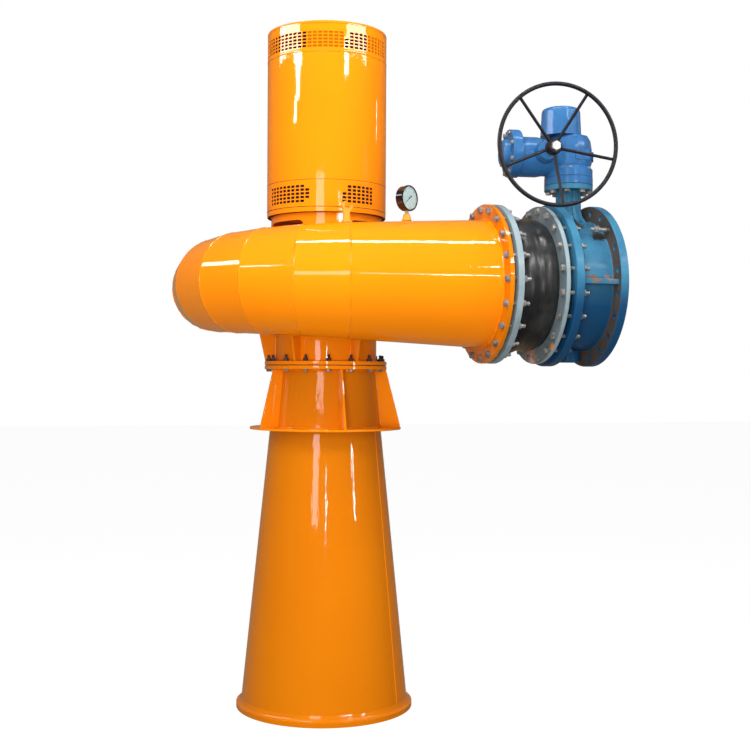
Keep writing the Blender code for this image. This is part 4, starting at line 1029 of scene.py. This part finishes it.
def make_valve(sizes):
    near, far, thick, rim, wall, bore, chamfer = 0.836, 1.066, 0.035, 0.3465, 0.2775, 0.250, 0.003
    inside_near, inside_far = near + thick, far - thick
    body = turn("valve_body_cast", [
        (rim, far - chamfer), (rim - chamfer, far), (bore, far), (bore, near), (rim - chamfer, near),
        (rim, near + chamfer), (rim, inside_near - chamfer), (rim - chamfer, inside_near),
        (wall + 0.010, inside_near), (wall + 0.003, inside_near + 0.003), (wall, inside_near + 0.010),
        (wall, inside_far - 0.010), (wall + 0.003, inside_far - 0.003), (wall + 0.010, inside_far),
        (rim - chamfer, inside_far), (rim, inside_far + chamfer)], sizes.facets, ALONG)
    nothing_selected()
    bpy.ops.mesh.primitive_cylinder_add(vertices=24, radius=0.013, depth=0.07, location=(0, 0, far - thick / 2))
    drill = named("drill")
    bpy.ops.object.transform_apply()
    combine(body, repeated("drills", drill, shank_places(9.0)), "DIFFERENCE")
    outline = [(-0.011, inside_near - 0.001), (0.011, inside_near - 0.001), (0.011, inside_far + 0.001),
               (-0.011, inside_far + 0.001)]
    ribs = [round_edges(cut_plate("rib", outline, 0.048, ALONG @ shift(0, side * (wall - 0.002 + 0.024), 0)), 0.003)
            for side in (-1, 1)]
    body = gather("valve_body_cast", [body] + ribs)
    finish(body, "valve_blue", stands_for=["valve_body"])
    second_finish(body, "flange_bare",
                  lambda face: abs(face.center.x - AXIS_X - inside_far) < 0.002 and face.normal.x < -0.9)
    loose = turn("loose", [(0.0, 1.060), (0.007, 1.060), (0.008, 1.058), (0.008, 0.950), (0.0, 0.950)], 12)
    washer = turn("washer", [(0.0, 0.9835), (0.017, 0.9835), (0.017, 0.9810), (0.0, 0.9810)], 16)
    loose = gather("loose_flange_bolt", [loose, washer, hexagon(0.0145, 0.013, 0.9665, 0.0016)])
    finish(put(loose, ALONG @ around(225) @ shift(BOLT_CIRCLE, 0, 0)), "bolt_zinc")
    neck_foot = PIPE_Z + wall - 0.040
    neck = turn("valve_neck_cast", [
        (0.0, 2.2885), (0.0510, 2.2885), (0.0500, 2.270), (0.0500, 2.200), (0.0540, 2.180), (0.0640, 2.164),
        (0.0700, 2.156), (0.0700, neck_foot), (0.0, neck_foot)], 48, STEM)
    fin = cut_plate("fin", [(0.0, 2.120), (0.095, 2.120), (0.085, 2.150), (0.066, 2.175), (0.056, 2.205),
                            (0.056, 2.2884), (0.0, 2.2884)], 0.012)
    round_edges(fin, 0.002)
    fins = repeated("fins", fin, [STEM @ around(angle) for angle in (-122, -84, -45, 0, 58, 96, 135, 180)])
    finish(gather("valve_neck_cast", [neck, fins]), "valve_blue", stands_for=["valve_neck"])
    turned_part("valve_lower_boss_cast", "valve_lower_boss", [
        (0.0, 1.5485), (0.043, 1.5485), (0.050, 1.5545), (0.050, 1.600), (0.0, 1.620)], 48, STEM, "valve_blue")
    turned_part("valve_disc_turned", "valve_disc", [
        (0.0, 0.979), (0.050, 0.9785), (0.112, 0.9745), (0.200, 0.966), (0.246, 0.960), (0.249, 0.9546),
        (0.249, 0.9474), (0.246, 0.942), (0.200, 0.936), (0.112, 0.9275), (0.050, 0.9235), (0.0, 0.923)], 96, ALONG,
        "turned_steel")
    turned_part("valve_top_flange_cast", "valve_top_flange", [
        (0.0, 2.2888), (0.104, 2.2888), (0.104, 2.3113), (0.0, 2.3113)], 64, STEM, "valve_blue", 0.002)
    bolted("top_flange_bolts", headed("head", 0.008, 0.012), bolt_places(STEM, 8, 0.086, 2.2887, 22.5, True))


def make_actuator():
    turned_part("actuator_flange_cast", "actuator_flange", [
        (0.0, 2.3116), (0.104, 2.3116), (0.104, 2.345), (0.0, 2.345)], 64, STEM, "actuator_blue", 0.0025)
    housing = turn("gear_housing_cast", [
        (0, 2.5227), (0.0815, 2.5227), (0.0930, 2.5029), (0.0990, 2.4662), (0.0990, 2.4068), (0.0930, 2.3899),
        (0.1030, 2.3780), (0.1030, 2.3453), (0, 2.3453)], 64, STEM)
    arm = turn("arm", [(0, 0.228), (0.0855, 0.228), (0.0855, 0.150), (0.080, 0.120), (0.080, 0.010), (0, 0.010)], 64,
               STEM @ shift(0, 0, 2.4316) @ around(-90, "Y"))
    worm = turn("worm", [(0, 0.127), (0.038, 0.127), (0.044, 0.121), (0.048, 0.100), (0.048, -0.02), (0, -0.02)], 48,
                STEM @ shift(-0.1318, 0, WORM_Z) @ around(90, "X"))
    combine(housing, arm, "UNION")
    combine(housing, worm, "UNION")
    web = cut_plate("web", [(-0.150, 2.4350), (-0.070, 2.5080), (-0.070, 2.4350)], 0.010)
    combine(housing, repeated("webs", web, [STEM @ shift(0.0, y, 0.0) for y in (-0.040, 0.040)]), "UNION")
    round_edges(housing, 0.003, 2, 40)
    finish(housing, "actuator_blue", stands_for=["gear_housing"], angle=40)
    cover_place = STEM @ shift(-0.0357, 0, 0)
    turned_part("gear_cover_cast", "gear_housing_cover", [
        (0.0, 2.6466), (0.050, 2.6462), (0.0655, 2.6447), (0.0745, 2.6410), (0.0793, 2.6370), (0.0820, 2.6300),
        (0.0828, 2.6250), (0.0850, 2.580), (0.0878, 2.5230), (0.0, 2.5230)], 64, cover_place, "actuator_blue")
    plate = cut_plate("plate", [(-0.036, -0.022), (0.036, -0.022), (0.036, 0.022), (-0.036, 0.022)], 0.004)
    bolted("housing_plates", round_edges(plate, 0.0012), [
        STEM @ around(turn_to) @ shift(0.0, -0.0985, 2.4360) for turn_to in (18, 90, 180)], "actuator_blue")
    control = STEM @ shift(0, 0, 2.4435) @ around(-90, "Y")
    flange = turn("control_flange_cast", [(0, 0.2283), (0.102, 0.2283), (0.102, 0.2735), (0, 0.2735)], 64, control)
    finish(round_edges(flange, 0.004, 3), "actuator_blue", stands_for=["control_flange"])
    turned_part("control_cap_cast", "control_cover", [
        (0, 0.3023), (0.049, 0.3023), (0.0555, 0.298), (0.0595, 0.2883), (0.0595, 0.2738), (0, 0.2738)], 64, control,
        "actuator_blue")
    heads = [repeated(name, headed("head", 0.0055, 0.009), places) for name, places in (
        ("control_heads", bolt_places(control, 8, 0.088, 0.2734, 22.5)),
        ("housing_heads", bolt_places(STEM, 6, 0.094, 2.3779, 15.0)))]
    finish(gather("actuator_bolts", heads), "bolt_zinc")
    seams = [turn("seam", collar(radius - 0.004, radius, height - 0.0008, height + 0.0008), 96, place)
             for radius, height, place in (
                 (0.0882, 2.5229, cover_place), (0.1034, 2.3452, STEM), (0.1044, 2.3114, STEM),
                 (0.0940, 2.3780, STEM), (0.0860, 0.2281, control))]
    finish(gather("actuator_seams", seams), "screen_black")


def make_handwheel():
    shaft = turn("handwheel_shaft_turned", [
        (0, -SEAT), (0.013, -SEAT), (0.014, -0.0013), (0.014, -0.0472), (0, -0.0472)], 32, WHEEL_AXIS)
    finish(shaft, "turned_steel", WHEEL, ["handwheel_shaft"])
    hub = turn("hub", [(0, 0.0), (0.030, 0.0), (0.032, 0.002), (0.032, 0.038), (0.027, 0.045), (0, 0.045)], 40)
    spokes = []
    for spot in evenly(HERE, 5, 59.4):
        way = spot @ Vector((1.0, 0.0, 0.0))
        begin = way * 0.028 + Vector((0, 0, 0.0225))
        run = way * WHEEL_RADIUS + Vector((0, 0, WHEEL_PLANE)) - begin
        length = run.length - WHEEL_TUBE - 0.0005
        spokes.append(turn("spoke", [(0, 0), (0.0074, 0), (0.0066, 0.03), (0.0066, length), (0, length)], 16,
                           facing(begin, run)))
    spider = put(gather("handwheel_spider_welded", [hub] + spokes), WHEEL_AXIS)
    finish(spider, "black_enamel", WHEEL, ["handwheel_spider"], angle=40)
    section = [(WHEEL_RADIUS + x, WHEEL_PLANE + z) for x, z in arc((0.0, 0.0), WHEEL_TUBE, 0, 337.5, 15)]
    rim = turn("handwheel_rim_bent", section, 160, WHEEL_AXIS)
    finish(rim, "black_enamel", WHEEL, ["handwheel_rim"], angle=60)
    hexagon(0.020, 0.014, 0.0453, 0.002)
    nut = put(named("handwheel_nut_hex"), WHEEL_AXIS)
    finish(nut, "nut_bright", WHEEL, ["handwheel_nut"])


def dress_inner_parts():
    """Better finishes for the solids whose shape is right, seen through windows and vents."""
    for material, nodes in (("core_dark", ["generator_core"]), ("turned_steel", ["turbine_shaft", "generator_shaft"]),
                            ("runner_bronze", ["runner_hub"] + [f"runner_blade_{number}" for number in range(1, 5)])):
        for node in nodes:
            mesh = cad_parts[node].data
            mesh.materials.clear()
            mesh.materials.append(bpy.data.materials[material])


# Stage


def add_light(name, power, size, place, target):
    nothing_selected()
    bpy.ops.object.light_add(type="AREA", location=place)
    light = bpy.context.object
    light.name = name
    light.data.shape = "RECTANGLE"
    light.data.size, light.data.size_y = size
    light.data.energy = power
    light.rotation_mode = "QUATERNION"
    light.rotation_quaternion = (Vector(target) - Vector(place)).to_track_quat("-Z", "Y")
    return light


def make_floor():
    """A pale floor that neither colours the set nor shows in its gloss."""
    nothing_selected()
    bpy.ops.mesh.primitive_plane_add(size=60.0, location=(0.0, 0.0, -0.001))
    floor = named("studio_floor")
    bpy.ops.object.transform_apply()
    tree, shader, where = new_finish("studio_white", 0.8)
    grain = noise(tree, where, 3.0, 2.0)
    tree.links.new(blend(tree, grain, grey(0.16), grey(0.14)), shader.inputs["Base Color"])
    shader.inputs["Specular IOR Level"].default_value = 0.0
    shader.inputs["Emission Color"].default_value = WHITE
    shader.inputs["Emission Strength"].default_value = 0.92
    floor.data.materials.append(bpy.data.materials["studio_white"])
    floor.visible_glossy = False
    floor.visible_diffuse = False


def make_camera(studio):
    forward = Vector((math.sin(studio.bearing), math.cos(studio.bearing), 0.0))
    right = Vector((math.cos(studio.bearing), -math.sin(studio.bearing), 0.0))
    nothing_selected()
    bpy.ops.object.camera_add()
    camera = bpy.context.object
    camera.location = Vector((AXIS_X, AXIS_Y, studio.height)) - forward * studio.distance + right * studio.aside
    camera.rotation_euler = (math.radians(90), -studio.roll, -studio.bearing)
    camera.data.lens = studio.lens
    camera.data.sensor_width = 36.0
    camera.data.shift_x = -0.0008
    bpy.context.scene.camera = camera
    bpy.context.scene.view_settings.view_transform = "Standard"


def gloss_light(name, place, size, bright, target):
    """A bright pane that only the gloss shows."""
    power = math.pi * size[0] * size[1] * bright
    add_light(name, power, size, place, target).visible_diffuse = False


def make_gloss_lights():
    """Panes round the set, as (name, side, away, low, high, width, brightness), and lines above and before it.

    Side is the turn from the camera's side of the turbine's axis in degrees, to the right in the picture.
    """
    for name, side, away, low, high, width, bright in (
            ("left_panel", -77.0, 6.0, 4.46, 5.20, 5.4, 15.0),
            ("left_step_1", -56.0, 6.0, 4.31, 4.46, 1.9, 26.0),
            ("left_step_2", -56.0, 6.0, 4.18, 4.31, 1.1, 26.0),
            ("left_step_3", -56.0, 6.0, 4.04, 4.18, 0.7, 26.0),
            ("left_step_4", -61.3, 6.0, 3.79, 4.04, 0.5, 26.0),
            ("right_panel", 57.0, 6.0, 4.46, 5.20, 4.6, 13.0),
            ("right_step", 36.0, 6.0, 4.26, 4.50, 0.9, 26.0),
            ("side_line", 109.0, 5.0, 3.49, 3.80, 0.07, 24.0),
            ("window_upper", -12.0, 8.0, 2.76, 3.70, 2.2, 5.0),
            ("window_lower", -17.5, 8.0, 1.45, 2.55, 1.6, 6.0),
            ("camera_line", 1.6, 6.4, 1.17, 1.80, 0.09, 50.0),
            ("cone_line", 53.0, 6.0, 1.20, 1.90, 0.26, 30.0)):
        bearing = math.radians(CAMERA_SIDE + side)
        place = Vector((AXIS_X + away * math.cos(bearing), AXIS_Y + away * math.sin(bearing), (low + high) / 2))
        gloss_light(name, place, (width, high - low), bright, (AXIS_X, AXIS_Y, place.z))
    for name, place, size, bright in (
            ("ceiling_line", (-0.29, -1.25, 6.01), (5.0, 0.32), 26.0),
            ("front_line", (2.55, -7.9, 3.3), (1.85, 0.15), 34.0),
            ("front_line_end", (1.27, -7.9, 3.3), (0.65, 0.15), 10.0)):
        gloss_light(name, place, size, bright, MIDDLE)


def make_soft_lights():
    for name, place, size, power in (
            ("ceiling_soft", (-0.4, -2.5, 4.6), (2.4, 1.8), 112.0),
            ("front_soft", (-1.6, -5.4, 2.2), (2.8, 2.8), 130.0),
            ("left_soft", (-3.6, -2.6, 4.6), (2.0, 2.2), 92.0),
            ("right_soft", (3.8, -2.6, 4.0), (2.0, 2.2), 68.0),
            ("low_soft", (-1.8, -4.4, 0.9), (1.8, 0.8), 58.0)):
        add_light(name, power, size, place, MIDDLE).visible_glossy = False


def make_world(studio):
    """A white backdrop, and a softer grey surrounding that lights the set and shows in its gloss."""
    world = bpy.data.worlds.new("soft_daylight")
    world.use_nodes = True
    tree = world.node_tree
    back = tree.nodes["Background"]
    way = add_node(tree, "ShaderNodeTexCoord").outputs["Generated"]
    split = add_node(tree, "ShaderNodeSeparateXYZ", {"Vector": way}).outputs
    path = add_node(tree, "ShaderNodeLightPath").outputs
    soft = blend(tree, ramp(tree, split["Z"], 0.0, 0.9), grey(studio.horizon), grey(studio.sky))
    soft = blend(tree, ramp(tree, split["Z"], 0.0, -0.5), soft, grey(studio.ground))
    gloss = blend(tree, ramp(tree, split["Z"], -0.1, 0.9), grey(studio.gloss_horizon), grey(studio.gloss_sky))
    behind = studio.gloss_behind
    gloss = blend(tree, ramp(tree, split["Y"], 0.1, 0.9), gloss, (behind, behind * 0.72, behind * 0.45, 1.0))
    light = blend(tree, path["Is Glossy Ray"], soft, gloss)
    tree.links.new(blend(tree, path["Is Camera Ray"], light, WHITE), back.inputs["Color"])
    back.inputs["Strength"].default_value = 1.0
    bpy.context.scene.world = world


def make_stage(studio):
    make_floor()
    make_world(studio)
    make_camera(studio)
    make_gloss_lights()
    make_soft_lights()


class MakeFinishes(bpy.types.Operator):
    """Paints, metals, rubber and glass"""

    bl_idname = "turbine.finishes"
    bl_label = "Finishes"

    def execute(self, context):
        make_finishes(context.scene.turbine_finish)
        dress_inner_parts()
        return {"FINISHED"}


class MakeStage(bpy.types.Operator):
    """Floor, light and camera"""

    bl_idname = "turbine.stage"
    bl_label = "Stage"

    def execute(self, context):
        make_stage(context.scene.turbine_studio)
        return {"FINISHED"}


class MakeDraftTube(bpy.types.Operator):
    """Base ring, cone, foundation plate and ribs"""

    bl_idname = "turbine.draft_tube"
    bl_label = "Draft tube"

    def execute(self, context):
        make_draft_tube(context.scene.turbine_sizes)
        return {"FINISHED"}


class MakeThroat(bpy.types.Operator):
    """Bolted flanges, runner chamber and gussets"""

    bl_idname = "turbine.throat"
    bl_label = "Throat"

    def execute(self, context):
        make_throat(context.scene.turbine_sizes)
        make_stay_ring(context.scene.turbine_sizes)
        return {"FINISHED"}


class MakeScroll(bpy.types.Operator):
    """Mitred scroll, inlet pipe, their welds and the lifting hook"""

    bl_idname = "turbine.scroll"
    bl_label = "Scroll case"

    def execute(self, context):
        make_scroll(context.scene.turbine_sizes)
        make_hook()
        return {"FINISHED"}


class MakeGenerator(bpy.types.Operator):
    """Stand with its windows, perforated guards, casing and lid"""

    bl_idname = "turbine.generator"
    bl_label = "Generator"

    def execute(self, context):
        make_generator_stand(context.scene.turbine_sizes)
        make_generator(context.scene.turbine_sizes)
        return {"FINISHED"}


class MakeGauge(bpy.types.Operator):
    """Pressure gauge on its boss"""

    bl_idname = "turbine.gauge"
    bl_label = "Pressure gauge"

    def execute(self, context):
        make_gauge()
        return {"FINISHED"}


class MakeJoint(bpy.types.Operator):
    """Inlet flange, backing rings, rubber joint and their bolts"""

    bl_idname = "turbine.joint"
    bl_label = "Expansion joint"

    def execute(self, context):
        make_flanges(context.scene.turbine_sizes)
        return {"FINISHED"}


class MakeValve(bpy.types.Operator):
    """Butterfly valve's body, neck, disc and top flange"""

    bl_idname = "turbine.valve"
    bl_label = "Inlet valve"

    def execute(self, context):
        make_valve(context.scene.turbine_sizes)
        return {"FINISHED"}


class MakeActuator(bpy.types.Operator):
    """Gear housing, its cover and the control housing"""

    bl_idname = "turbine.actuator"
    bl_label = "Actuator"

    def execute(self, context):
        make_actuator()
        return {"FINISHED"}


class MakeHandwheel(bpy.types.Operator):
    """Five-spoke handwheel on its shaft"""

    bl_idname = "turbine.handwheel"
    bl_label = "Handwheel"

    def execute(self, context):
        make_handwheel()
        return {"FINISHED"}


PIECES = (MakeFinishes, MakeStage, MakeDraftTube, MakeThroat, MakeScroll, MakeGenerator, MakeGauge, MakeJoint,
          MakeValve, MakeActuator, MakeHandwheel)


class TurbinePanel(bpy.types.Panel):
    """Sizes, colours and pieces of the turbine set"""

    bl_idname = "VIEW3D_PT_turbine"
    bl_label = "Turbine set"
    bl_space_type = "VIEW_3D"
    bl_region_type = "UI"
    bl_category = "Turbine"

    def draw(self, context):
        for group in (context.scene.turbine_finish, context.scene.turbine_sizes, context.scene.turbine_studio):
            for key in group.bl_rna.properties.keys():
                if key not in ("rna_type", "name"):
                    self.layout.prop(group, key)
        for piece in PIECES:
            self.layout.operator(piece.bl_idname)


CLASSES = (TurbineFinish, TurbineSizes, TurbineStudio, *PIECES, TurbinePanel)


def register():
    for made in CLASSES:
        bpy.utils.register_class(made)
    bpy.types.Scene.turbine_finish = bpy.props.PointerProperty(type=TurbineFinish)
    bpy.types.Scene.turbine_sizes = bpy.props.PointerProperty(type=TurbineSizes)
    bpy.types.Scene.turbine_studio = bpy.props.PointerProperty(type=TurbineStudio)


def unregister():
    del bpy.types.Scene.turbine_finish
    del bpy.types.Scene.turbine_sizes
    del bpy.types.Scene.turbine_studio
    for made in reversed(CLASSES):
        bpy.utils.unregister_class(made)


def main():
    register()
    bpy.ops.turbine.finishes()
    bpy.ops.turbine.stage()
    bpy.ops.turbine.draft_tube()
    bpy.ops.turbine.throat()
    bpy.ops.turbine.scroll()
    bpy.ops.turbine.generator()
    bpy.ops.turbine.gauge()
    bpy.ops.turbine.joint()
    bpy.ops.turbine.valve()
    bpy.ops.turbine.actuator()
    bpy.ops.turbine.handwheel()
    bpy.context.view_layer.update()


if __name__ == "__main__":
    main()
